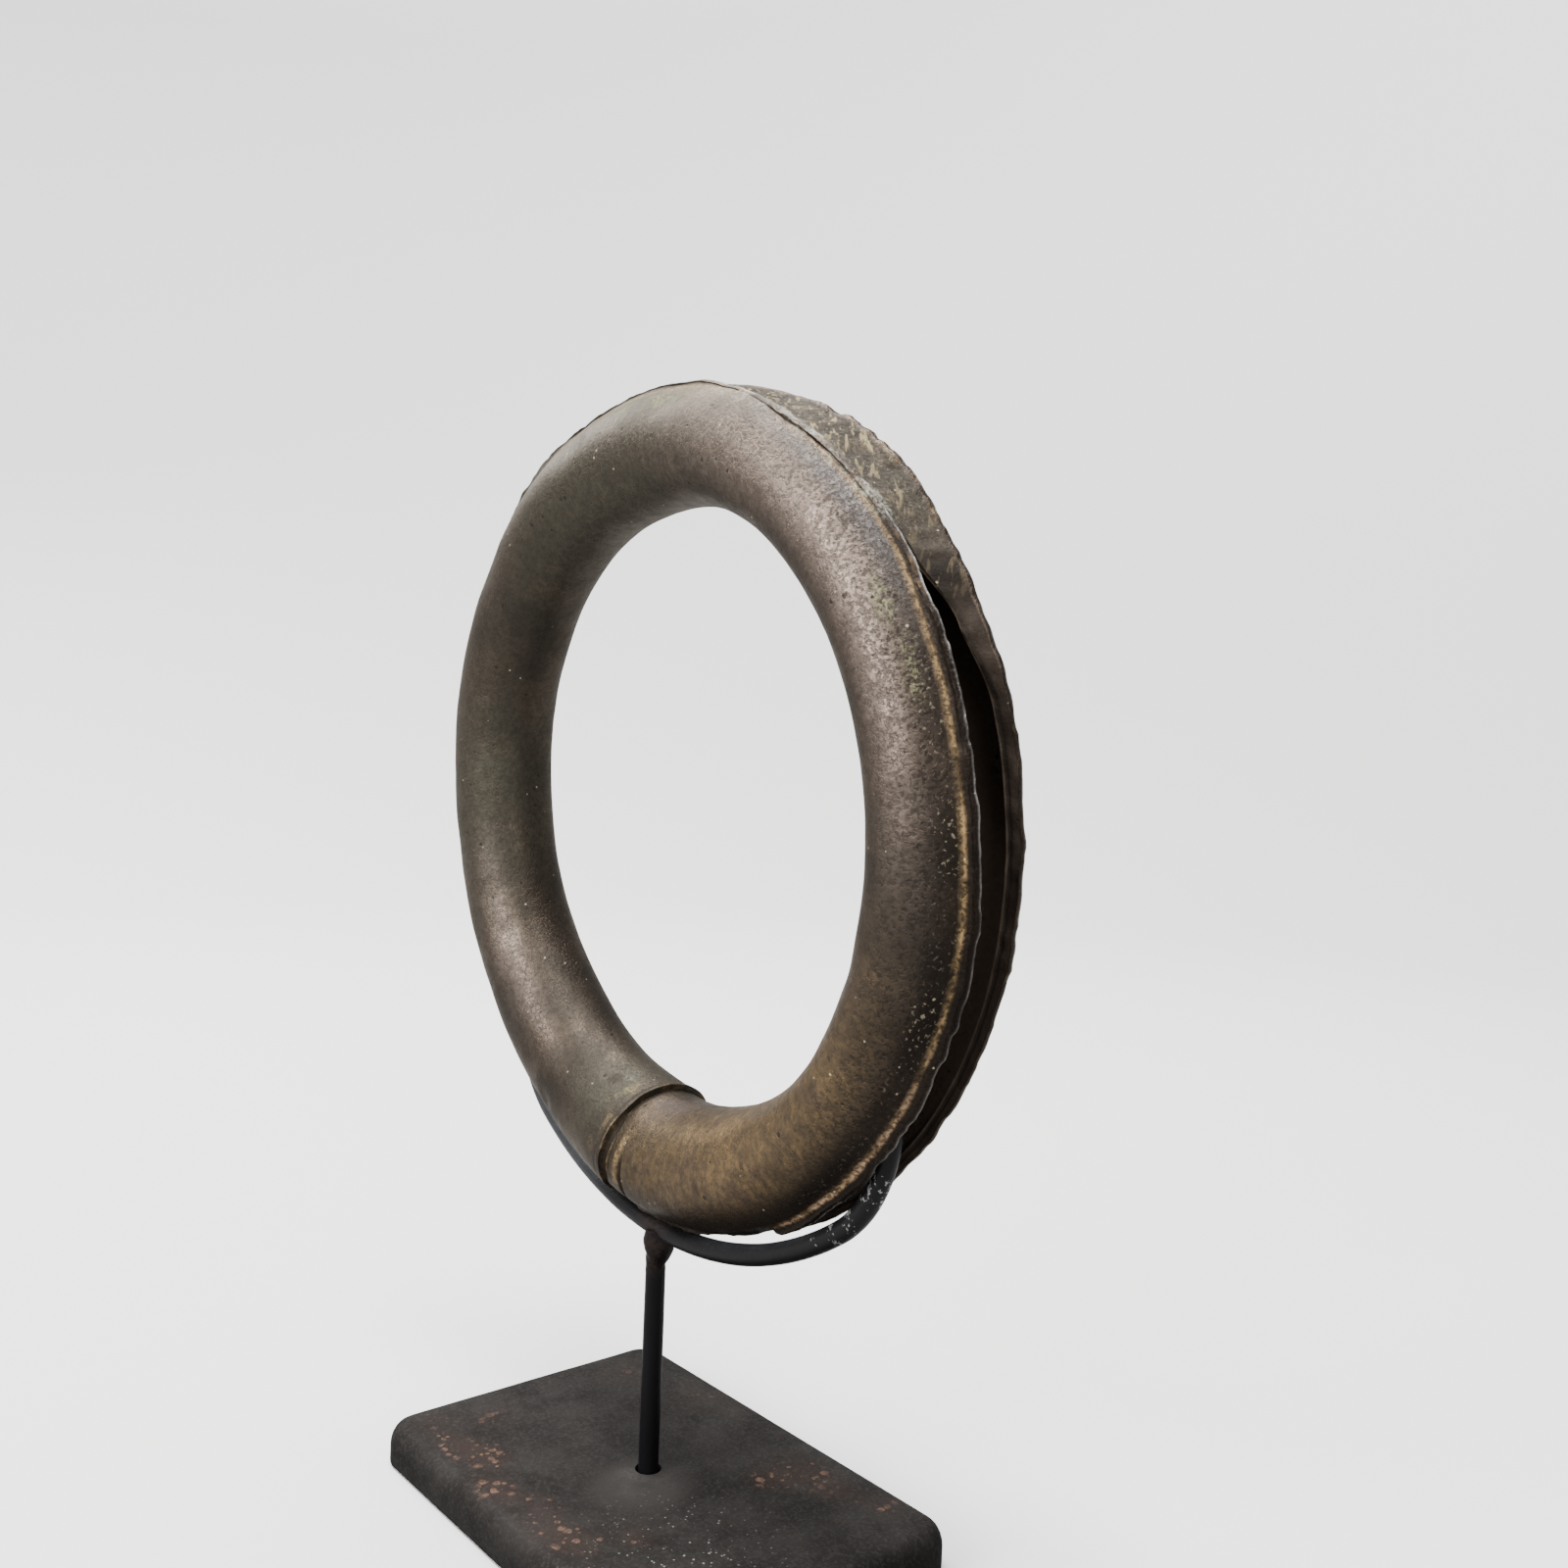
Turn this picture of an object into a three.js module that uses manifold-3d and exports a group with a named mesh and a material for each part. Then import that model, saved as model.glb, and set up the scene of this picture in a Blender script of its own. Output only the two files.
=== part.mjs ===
// A hollow bronze rattle bangle, open along its outer rim. It stands upright in a cradle of bent wire,
// on a rod and a small steel base plate. Millimetres, +Z up, the bangle's axis along Y.
// The origin is the point of the base plate's underside that the rod's axis meets.
import * as THREE from 'three';
import { mergeVertices } from 'three/addons/utils/BufferGeometryUtils.js';
import Module from 'manifold-3d';

// Base plate
const BASE_LENGTH = 79;
const BASE_WIDTH = 53.5;
const BASE_THICKNESS = 6.5;
const BASE_CORNER_RADIUS = 5;
const BASE_SHIFT_X = 0.5;
const BASE_SHIFT_Y = 0.5;
const BASE_TOP_ROUND_IN = 2.3;
const BASE_TOP_ROUND_DOWN = 3.2;
const BASE_FOOT_ROUND = 0.7;
const SOCKET_DEPTH = 4.2;
const SOCKET_CLEARANCE = 0.45;

// Rod and the lump of weld on its top
const POST_DIAMETER = 3.2;
const POST_RISE = 36.2;
const WELD_DIAMETER = 5.2;
const WELD_HEIGHT = 7.6;
const WELD_SHIFT = 0.55;

// Cradle of bent wire, an arc under the bangle whose ends tuck into the slit
const WIRE_DIAMETER = 3.2;
const CRADLE_CLEARANCE = 0.9;
const CRADLE_BEND_ANGLE = 34;
const CRADLE_END_ANGLE = 51;
const CRADLE_TUCK = 6.5;

// Bangle: a tube of sheet metal bent round a ring
const RING_RADIUS = 53.75;
const RING_OVAL = 0.25;
const TUBE_DEPTH = 17.9;
const TUBE_DEPTH_TAPER = 0.3;
const TUBE_WIDTH = 18.8;
const TUBE_WIDTH_SWELL = 1.3;
const TUBE_WIDTH_TOP_LOSS = 0.32;
const SHEET_THICKNESS = 1.2;
const RING_LEAN = 3.7;
const RING_SIDE_OFFSET = 4.7;
const RING_FORWARD_OFFSET = 1.57;

// Slit along the outer rim
const SLIT_WIDTH = 6;
const WIRE_SLACK = 1.2;
const SEAM_GAP = 0.5;
const LIP_THICKNESS = 0.9;
const LIP_FOOT = 1;
const LIP_RISE = 1.4;

// Sleeve joint, where the left end of the tube laps over the right end
const JOINT_ANGLE = -97;
const JOINT_SLANT_ANGLE = 5;
const JOINT_FADE_ANGLE = 26;
const SLEEVE_STEP = 0.75;
const RIM_BEAD = 0.25;

// Everything that touches keeps this gap
const GAP = 0.3;

// Fineness of the faceted surfaces
const RING_STATIONS = 72;
const SKIN_STEPS = 20;
const BORE_STEPS = 13;
const ROUND_STEPS = 4;
const CORNER_STEPS = 5;
const WIRE_SIDES = 12;
const WIRE_STEPS = 46;

const rad = THREE.MathUtils.degToRad;
const lerp = THREE.MathUtils.lerp;
const WIRE_RADIUS = WIRE_DIAMETER / 2;
const POST_RADIUS = POST_DIAMETER / 2;
const SOCKET_RADIUS = POST_RADIUS + SOCKET_CLEARANCE;
const CRADLE_RADIUS = RING_RADIUS + TUBE_DEPTH / 2 + CRADLE_CLEARANCE + WIRE_RADIUS;
const WIRE_HEIGHT = BASE_THICKNESS + POST_RISE + GAP + WIRE_RADIUS;
const RING_CENTRE = new THREE.Vector3(
  RING_SIDE_OFFSET,
  -RING_FORWARD_OFFSET,
  WIRE_HEIGHT + Math.sqrt(CRADLE_RADIUS ** 2 - RING_SIDE_OFFSET ** 2),
);

const wasm = await Module();
wasm.setup();

const toSolid = (geometry) => {
  const bare = geometry.index ? geometry.clone() : mergeVertices(geometry.clone());
  bare.deleteAttribute('normal');
  bare.deleteAttribute('uv');
  const merged = mergeVertices(bare, 1e-4);
  const solid = new wasm.Manifold(
    new wasm.Mesh({
      numProp: 3,
      vertProperties: new Float32Array(merged.attributes.position.array),
      triVerts: new Uint32Array(merged.index.array),
    }),
  );
  return solid;
};

const toGeometry = (solid) => {
  const mesh = solid.getMesh();
  const geometry = new THREE.BufferGeometry();
  geometry.setAttribute('position', new THREE.BufferAttribute(mesh.vertProperties, 3));
  geometry.setIndex(new THREE.BufferAttribute(mesh.triVerts, 1));
  geometry.computeVertexNormals();
  return geometry;
};

// Skin through rows of points, each row a closed loop. The rows close on each other like a ring,
// or else the first and last are capped flat.
const skinRows = (rows, closed) => {
  const across = rows[0].length;
  const positions = rows.flat().flatMap((point) => point.toArray());
  const index = [];
  const bands = closed ? rows.length : rows.length - 1;
  for (let row = 0; row < bands; row += 1) {
    const next = (row + 1) % rows.length;
    for (let k = 0; k < across; k += 1) {
      const side = (k + 1) % across;
      const a = row * across + k;
      const b = row * across + side;
      const c = next * across + side;
      const d = next * across + k;
      index.push(a, b, c, a, c, d);
    }
  }
  if (!closed) {
    const last = (rows.length - 1) * across;
    for (let k = 1; k < across - 1; k += 1) {
      index.push(0, k + 1, k);
      index.push(last, last + k, last + k + 1);
    }
  }
  const geometry = new THREE.BufferGeometry();
  geometry.setAttribute('position', new THREE.Float32BufferAttribute(positions, 3));
  geometry.setIndex(index);
  geometry.computeVertexNormals();
  return geometry;
};

// Base plate: rounded rectangles stacked through the softened edges, less the rod's socket
const plateOutline = (inset, height) => {
  const radius = BASE_CORNER_RADIUS - inset;
  const centreX = BASE_LENGTH / 2 - BASE_CORNER_RADIUS;
  const centreY = BASE_WIDTH / 2 - BASE_CORNER_RADIUS;
  const corners = [[1, 1], [-1, 1], [-1, -1], [1, -1]];
  const points = [];
  corners.forEach(([signX, signY], corner) => {
    for (let step = 0; step <= CORNER_STEPS; step += 1) {
      const angle = rad(90 * (corner + step / CORNER_STEPS));
      const x = BASE_SHIFT_X + signX * centreX + radius * Math.cos(angle);
      const y = BASE_SHIFT_Y + signY * centreY + radius * Math.sin(angle);
      points.push(new THREE.Vector3(x, y, height));
    }
  });
  return points;
};

const baseGeometry = () => {
  const rows = [];
  for (let step = 0; step <= ROUND_STEPS; step += 1) {
    const angle = rad((90 * step) / ROUND_STEPS);
    rows.push(plateOutline(BASE_FOOT_ROUND * (1 - Math.sin(angle)), BASE_FOOT_ROUND * (1 - Math.cos(angle))));
  }
  for (let step = 0; step <= ROUND_STEPS; step += 1) {
    const angle = rad((90 * step) / ROUND_STEPS);
    const inset = BASE_TOP_ROUND_IN * (1 - Math.cos(angle));
    rows.push(plateOutline(inset, BASE_THICKNESS - BASE_TOP_ROUND_DOWN * (1 - Math.sin(angle))));
  }
  const drill = new THREE.CylinderGeometry(SOCKET_RADIUS, SOCKET_RADIUS, 2 * SOCKET_DEPTH, 24);
  drill.rotateX(Math.PI / 2);
  drill.translate(0, 0, BASE_THICKNESS);
  return toGeometry(toSolid(skinRows(rows, false)).subtract(toSolid(drill)));
};

// Cradle wire: an arc round the bangle's centre, bent inwards at both ends
class CradleCurve extends THREE.Curve {
  getPoint(t, target = new THREE.Vector3()) {
    const swing = lerp(-CRADLE_END_ANGLE, CRADLE_END_ANGLE, t);
    const bent = Math.max(0, Math.abs(swing) - CRADLE_BEND_ANGLE) / (CRADLE_END_ANGLE - CRADLE_BEND_ANGLE);
    const radius = CRADLE_RADIUS - CRADLE_TUCK * bent ** 2;
    const angle = rad(swing - 90);
    return target.set(
      RING_CENTRE.x + radius * Math.cos(angle),
      0,
      RING_CENTRE.z + radius * Math.sin(angle),
    );
  }
}

const wireGeometry = (radius) => {
  const section = new THREE.Shape();
  for (let side = 0; side < WIRE_SIDES; side += 1) {
    const angle = (2 * Math.PI * side) / WIRE_SIDES;
    const x = radius * Math.cos(angle);
    const y = radius * Math.sin(angle);
    if (side === 0) section.moveTo(x, y);
    else section.lineTo(x, y);
  }
  return new THREE.ExtrudeGeometry(section, { steps: WIRE_STEPS, extrudePath: new CradleCurve() });
};

// Rod with the lump of weld, hollowed where the wire lies in it
const postGeometry = () => {
  const foot = BASE_THICKNESS - SOCKET_DEPTH + GAP;
  const length = WIRE_HEIGHT - foot;
  const rod = new THREE.CylinderGeometry(POST_RADIUS, POST_RADIUS, length, 20);
  rod.rotateX(Math.PI / 2);
  rod.translate(0, 0, foot + length / 2);
  const weld = new THREE.SphereGeometry(1, 20, 12);
  weld.rotateX(Math.PI / 2);
  weld.scale(WELD_DIAMETER / 2, WELD_DIAMETER / 2, WELD_HEIGHT / 2);
  weld.translate(WELD_SHIFT, 0, WIRE_HEIGHT - WELD_HEIGHT / 2);
  const wire = toSolid(wireGeometry(WIRE_RADIUS + GAP));
  return toGeometry(toSolid(rod).add(toSolid(weld)).subtract(wire));
};

// Where the wire runs across the tube, in the bangle's own leaning frame
const wireAcross = (angle) => {
  const lean = rad(RING_LEAN);
  const drop = CRADLE_RADIUS * Math.sin(rad(angle));
  return RING_FORWARD_OFFSET * Math.cos(lean) + drop * Math.sin(lean);
};
const RIGHT_ARM = CRADLE_END_ANGLE - 90;
const LEFT_ARM = -CRADLE_END_ANGLE - 90;
const ARM_SLIT = WIRE_DIAMETER + 2 * WIRE_SLACK;
const armFront = wireAcross(RIGHT_ARM) - ARM_SLIT / 2;
const armRear = wireAcross(RIGHT_ARM) + ARM_SLIT / 2;
const HALF_SLIT = SLIT_WIDTH / 2;

// The lips round the ring, counted from the right side towards the top. front and rear are where the
// slit's two edges lie across the tube, the rises are shares of LIP_RISE, and shelf is 1 where the rear
// sheet is hammered down under the front lip and closes the slit.
const LIPS = [
  { at: -180, front: -2.5, rear: 1.2, frontRise: 0.4, rearRise: 0.5, shelf: 0 },
  { at: LEFT_ARM - 8, front: armFront, rear: armRear, frontRise: 0.3, rearRise: 0.4, shelf: 0 },
  { at: LEFT_ARM + 16, front: armFront, rear: armRear, frontRise: 0, rearRise: 0.3, shelf: 0 },
  { at: JOINT_ANGLE, front: -HALF_SLIT, rear: 1.6, frontRise: 0, rearRise: 0.3, shelf: 0 },
  { at: -69, front: -HALF_SLIT, rear: 1.8, frontRise: 0, rearRise: 0.4, shelf: 0 },
  { at: -64.5, front: -HALF_SLIT - 0.2, rear: 2, frontRise: 0.75, rearRise: 0.5, shelf: 0 },
  { at: RIGHT_ARM - 12, front: armFront, rear: armRear + 0.6, frontRise: 0.6, rearRise: 0.4, shelf: 0 },
  { at: RIGHT_ARM + 4, front: armFront, rear: armRear + 1, frontRise: 0.75, rearRise: 0.45, shelf: 0 },
  { at: -15, front: -HALF_SLIT - 0.3, rear: HALF_SLIT - 0.1, frontRise: 0.9, rearRise: 0.9, shelf: 0 },
  { at: 15, front: -HALF_SLIT - 1, rear: HALF_SLIT + 0.2, frontRise: 0.9, rearRise: 0.85, shelf: 0.05 },
  { at: 25, front: -HALF_SLIT - 1.1, rear: HALF_SLIT + 0.2, frontRise: 0.75, rearRise: 0.7, shelf: 0.4 },
  { at: 34, front: -HALF_SLIT - 0.7, rear: HALF_SLIT + 0.2, frontRise: 0.45, rearRise: 0.8, shelf: 0.9 },
  { at: 42, front: -HALF_SLIT - 0.9, rear: HALF_SLIT, frontRise: 0.2, rearRise: 1.1, shelf: 1 },
  { at: 50, front: -HALF_SLIT - 1.1, rear: HALF_SLIT - 0.2, frontRise: 0.1, rearRise: 1.2, shelf: 1 },
  { at: 60, front: -HALF_SLIT - 1.3, rear: HALF_SLIT - 0.4, frontRise: 0, rearRise: 0.5, shelf: 1 },
  { at: 74, front: -HALF_SLIT - 0.3, rear: HALF_SLIT - 1, frontRise: 0, rearRise: 0, shelf: 1 },
  { at: 78, front: -HALF_SLIT - 0.4, rear: HALF_SLIT - 1, frontRise: 0.35, rearRise: 0, shelf: 1 },
  { at: 104, front: -HALF_SLIT - 0.2, rear: 1.6, frontRise: 0.3, rearRise: 0.2, shelf: 1 },
  { at: 124, front: -HALF_SLIT, rear: 1.4, frontRise: 1, rearRise: 0.4, shelf: 0.3 },
  { at: 146, front: -2.6, rear: 1.2, frontRise: 0.6, rearRise: 0.5, shelf: 0 },
];

const lipsAt = (angle) => {
  const count = LIPS.length;
  const wrapped = THREE.MathUtils.euclideanModulo(angle - LIPS[0].at, 360) + LIPS[0].at;
  let from = count - 1;
  while (LIPS[from].at > wrapped) from -= 1;
  const lower = LIPS[from];
  const upper = LIPS[(from + 1) % count];
  const end = from + 1 < count ? upper.at : upper.at + 360;
  const blend = THREE.MathUtils.smoothstep(wrapped, lower.at, end);
  const mix = (name) => lerp(lower[name], upper[name], blend);
  return {
    front: mix('front'),
    rear: mix('rear'),
    frontRise: LIP_RISE * mix('frontRise'),
    rearRise: LIP_RISE * mix('rearRise'),
    shelf: mix('shelf'),
  };
};

// Where hand hammering left the ring uneven: the shift of the tube's middle outwards and the gain in its
// half depth, each at its fullest at an angle and gone at a spread of degrees to either side
const SWELLS = [
  { at: 98, spread: 27, shift: -0.7, gain: 0 },
  { at: 160, spread: 40, shift: 0.2, gain: 0.15 },
  { at: -137, spread: 27, shift: -0.4, gain: 0.3 },
  { at: -90, spread: 18, shift: 0.5, gain: 0.05 },
];

const swellAt = (angle, name) => SWELLS.reduce((sum, swell) => {
  const off = Math.abs(THREE.MathUtils.euclideanModulo(angle - swell.at + 180, 360) - 180);
  return sum + swell[name] * (1 - THREE.MathUtils.smoothstep(off, 0, swell.spread));
}, 0);

// Half depth and half width of the tube, and the radius of its middle, at an angle round the ring
const tubeAt = (angle) => {
  const turn = rad(angle);
  return {
    middle: RING_RADIUS + RING_OVAL * Math.cos(2 * turn) + swellAt(angle, 'shift'),
    depth: TUBE_DEPTH / 2 - TUBE_DEPTH_TAPER * Math.cos(turn) + swellAt(angle, 'gain'),
    width: TUBE_WIDTH / 2 + TUBE_WIDTH_SWELL * Math.cos(turn) - TUBE_WIDTH_TOP_LOSS * Math.sin(turn),
  };
};

const onEllipse = (across, depth, width) => depth * Math.sqrt(Math.max(0, 1 - (across / width) ** 2));

// How far the joint's edge lies from JOINT_ANGLE, by the direction round the tube
const jointSlant = (roll) => -JOINT_SLANT_ANGLE * (0.5 + 0.5 * Math.cos(roll));

// How much the sleeve stands out over the tube that it grips, behind its edge
const sleeveLift = (behind, roll) => {
  if (behind < 0) return 0;
  const full = SLEEVE_STEP * (0.75 - 0.25 * Math.cos(roll));
  const bead = RIM_BEAD * (1 - THREE.MathUtils.smoothstep(behind, 0.6, 2.4));
  return full * (1 - THREE.MathUtils.smoothstep(behind, 0, JOINT_FADE_ANGLE)) + bead * (0.5 - 0.5 * Math.cos(roll));
};

// One closed section of the tube as pairs [out from the tube's middle, across the tube]
const sectionAt = (angle) => {
  const tube = tubeAt(angle);
  const lips = lipsAt(angle);
  const boreDepth = tube.depth - SHEET_THICKNESS;
  const boreWidth = tube.width - SHEET_THICKNESS;
  const skin = (across) => onEllipse(across, tube.depth, tube.width);
  const bore = (across) => onEllipse(across, boreDepth, boreWidth);
  const frontTip = lips.front - LIP_THICKNESS;
  const rearTip = lips.rear + LIP_THICKNESS;
  const frontRoot = Math.asin((frontTip - LIP_FOOT) / tube.width);
  const rearRoot = Math.asin((rearTip + LIP_FOOT) / tube.width);
  const points = [];
  for (let step = 0; step <= SKIN_STEPS; step += 1) {
    const roll = lerp(rearRoot, 2 * Math.PI + frontRoot, step / SKIN_STEPS);
    points.push([tube.depth * Math.cos(roll), tube.width * Math.sin(roll), roll]);
  }
  points.push([skin(frontTip) + lips.frontRise, frontTip, frontRoot]);
  points.push([skin(lips.front) + lips.frontRise, lips.front, frontRoot]);
  const seam = lips.front + SEAM_GAP;
  const toe = lerp(lips.rear, seam, lips.shelf);
  const boreStart = Math.asin(lips.front / boreWidth);
  const boreEnd = Math.asin(toe / boreWidth);
  for (let step = 0; step <= BORE_STEPS; step += 1) {
    const roll = lerp(boreStart, boreEnd - 2 * Math.PI, step / BORE_STEPS);
    points.push([boreDepth * Math.cos(roll), boreWidth * Math.sin(roll), 0]);
  }
  const shelfTop = lerp(lerp(bore(lips.rear), skin(lips.rear), 0.5), skin(seam) - 0.3, lips.shelf);
  points.push([shelfTop, toe, 0]);
  points.push([skin(lips.rear) + lips.rearRise, lips.rear, rearRoot]);
  points.push([skin(rearTip) + lips.rearRise, rearTip, rearRoot]);
  return points;
};

// Angles of the sections: evenly round the ring, closer at the joint's edge
const stationAngles = () => {
  const spacing = 360 / RING_STATIONS;
  const angles = [-2.4, -0.9, -0.25, 0.25, 1.2].map((near) => JOINT_ANGLE + near);
  for (let station = 0; station < RING_STATIONS; station += 1) {
    const angle = -180 + station * spacing;
    if (Math.abs(angle - JOINT_ANGLE) > 0.8 * spacing) angles.push(angle);
  }
  return angles.sort((a, b) => a - b);
};

const bangleGeometry = () => {
  const rows = stationAngles().map((angle) => {
    const tube = tubeAt(angle);
    const near = Math.max(0, 1 - Math.abs(angle - JOINT_ANGLE) / JOINT_FADE_ANGLE);
    const behind = JOINT_ANGLE - angle;
    const skinCount = SKIN_STEPS + 3;
    return sectionAt(angle).map(([out, across, roll], k, all) => {
      const outside = k < skinCount || k >= all.length - 2;
      const lift = outside ? sleeveLift(behind, roll) : 0;
      const turn = rad(angle + near * jointSlant(Math.atan2(across, out)));
      const grow = 1 + lift / Math.hypot(out, across);
      const radius = tube.middle + out * grow;
      return new THREE.Vector3(radius * Math.cos(turn), across * grow, radius * Math.sin(turn));
    });
  });
  return skinRows(rows, true);
};

const finish = (color, roughness, metalness) => new THREE.MeshStandardMaterial({ color, roughness, metalness });

const piece = (name, geometry, material) => {
  const mesh = new THREE.Mesh(geometry, material);
  mesh.name = name;
  return mesh;
};

const base = piece('base', baseGeometry(), finish(0x484644, 0.75, 0.3));
const post = piece('post', postGeometry(), finish(0x1e1c1e, 0.45, 0.4));
const cradle = piece('cradle', wireGeometry(WIRE_RADIUS), finish(0x222023, 0.45, 0.4));
const bangle = piece('bangle', bangleGeometry(), finish(0x5b4a38, 0.42, 0.85));
bangle.rotation.x = rad(RING_LEAN);
bangle.position.copy(RING_CENTRE);

const group = new THREE.Group();
group.add(base, post, cradle, bangle);

export default group;
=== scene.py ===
"""A hollow bronze rattle bangle on its display stand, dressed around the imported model.

Shapes are worked out in millimetres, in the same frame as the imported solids, and turned into metres
when a mesh is made. The bangle's axis runs along Y, and +Z is up.
"""

import logging
import math
from dataclasses import dataclass, field
from enum import Enum

import bpy
import numpy as np
from mathutils import Matrix, Vector


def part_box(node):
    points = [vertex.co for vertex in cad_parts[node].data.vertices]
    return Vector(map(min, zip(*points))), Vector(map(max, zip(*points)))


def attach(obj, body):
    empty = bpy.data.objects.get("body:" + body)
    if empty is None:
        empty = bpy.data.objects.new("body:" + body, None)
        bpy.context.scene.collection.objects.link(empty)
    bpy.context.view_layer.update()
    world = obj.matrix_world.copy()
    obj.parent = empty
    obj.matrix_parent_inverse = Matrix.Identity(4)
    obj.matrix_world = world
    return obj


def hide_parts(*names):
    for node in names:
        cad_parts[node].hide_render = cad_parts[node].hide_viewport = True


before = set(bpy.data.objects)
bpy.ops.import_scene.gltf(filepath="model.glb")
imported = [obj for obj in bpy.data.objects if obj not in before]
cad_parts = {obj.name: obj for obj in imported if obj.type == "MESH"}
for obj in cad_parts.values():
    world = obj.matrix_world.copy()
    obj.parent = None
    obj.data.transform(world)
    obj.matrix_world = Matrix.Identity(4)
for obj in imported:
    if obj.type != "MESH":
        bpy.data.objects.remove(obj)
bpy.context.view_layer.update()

MM = 0.001
log = logging.getLogger("bangle")

Colour = tuple[float, float, float]
Pair = tuple[np.ndarray, np.ndarray]
Tree = bpy.types.NodeTree
Socket = bpy.types.NodeSocket
Source = Socket | Colour | float


class Part(Enum):
    """The stretches that one section of the bangle's sheet is made of."""

    SKIN = 0
    FRONT_FOOT = 1
    FRONT_EDGE = 2
    FRONT_FACE = 3
    BORE = 4
    SHELF = 5
    REAR_EDGE = 6
    REAR_FOOT = 7


def smooth(value: np.ndarray, low: float, high: float) -> np.ndarray:
    """A smooth rise from 0 at low to 1 at high."""
    share = np.clip((value - low) / (high - low), 0.0, 1.0)
    return share * share * (3.0 - 2.0 * share)


def hump(value: np.ndarray, centre: float, spread: float) -> np.ndarray:
    """1 at centre, falling smoothly to 0 at spread to either side."""
    return 1.0 - smooth(np.abs(value - centre), 0.0, spread)


def band(value: np.ndarray, low: float, full: float, fade: float, high: float) -> np.ndarray:
    """1 between full and fade, falling smoothly to 0 at low and at high."""
    return smooth(value, low, full) * (1.0 - smooth(value, fade, high))


def around(angle: np.ndarray, centre: float) -> np.ndarray:
    """Degrees from centre to angle, the short way round."""
    return (angle - centre + 180.0) % 360.0 - 180.0


def mix(first: np.ndarray, second: np.ndarray, share: np.ndarray) -> np.ndarray:
    """Straight blend from first at 0 to second at 1."""
    return first + (second - first) * share


class LatticeNoise:
    """Smooth seeded noise in space, from about -1 to 1."""

    def __init__(self, seed: int, size: int = 48) -> None:
        """Fills the lattice.

        Args:
            seed: Start of the random numbers, so that each run gives the same surface.
            size: Lattice points along each side before the noise repeats.
        """
        self.size = size
        self.values = np.random.default_rng(seed).uniform(-1.0, 1.0, (size, size, size))

    def sample(self, points: np.ndarray, wavelength: float) -> np.ndarray:
        """Reads the noise.

        Args:
            points: Places with x, y and z on the last axis.
            wavelength: Distance between lattice points, in the same unit.

        Returns:
            One value for each place.
        """
        cell = points / wavelength
        low = np.floor(cell).astype(int)
        share = cell - low
        share = share * share * (3.0 - 2.0 * share)
        total = np.zeros(points.shape[:-1])
        for corner in np.ndindex(2, 2, 2):
            step = np.array(corner)
            weight = np.prod(np.where(step == 1, share, 1.0 - share), axis=-1)
            at = (low + step) % self.size
            total += weight * self.values[at[..., 0], at[..., 1], at[..., 2]]
        return total

    def layered(self, points: np.ndarray, wavelength: float, layers: int) -> np.ndarray:
        """Several octaves of the noise.

        Args:
            points: Places with x, y and z on the last axis.
            wavelength: Distance between lattice points in the first layer.
            layers: How many layers, each half as long and half as strong as the one before.

        Returns:
            One value for each place, from about -1 to 1.
        """
        total = np.zeros(points.shape[:-1])
        weight = 1.0
        for layer in range(layers):
            total += weight * self.sample(points + 17.3 * layer, wavelength / 2**layer)
            weight *= 0.5
        return total / (2.0 - 2.0 * weight)


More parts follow.
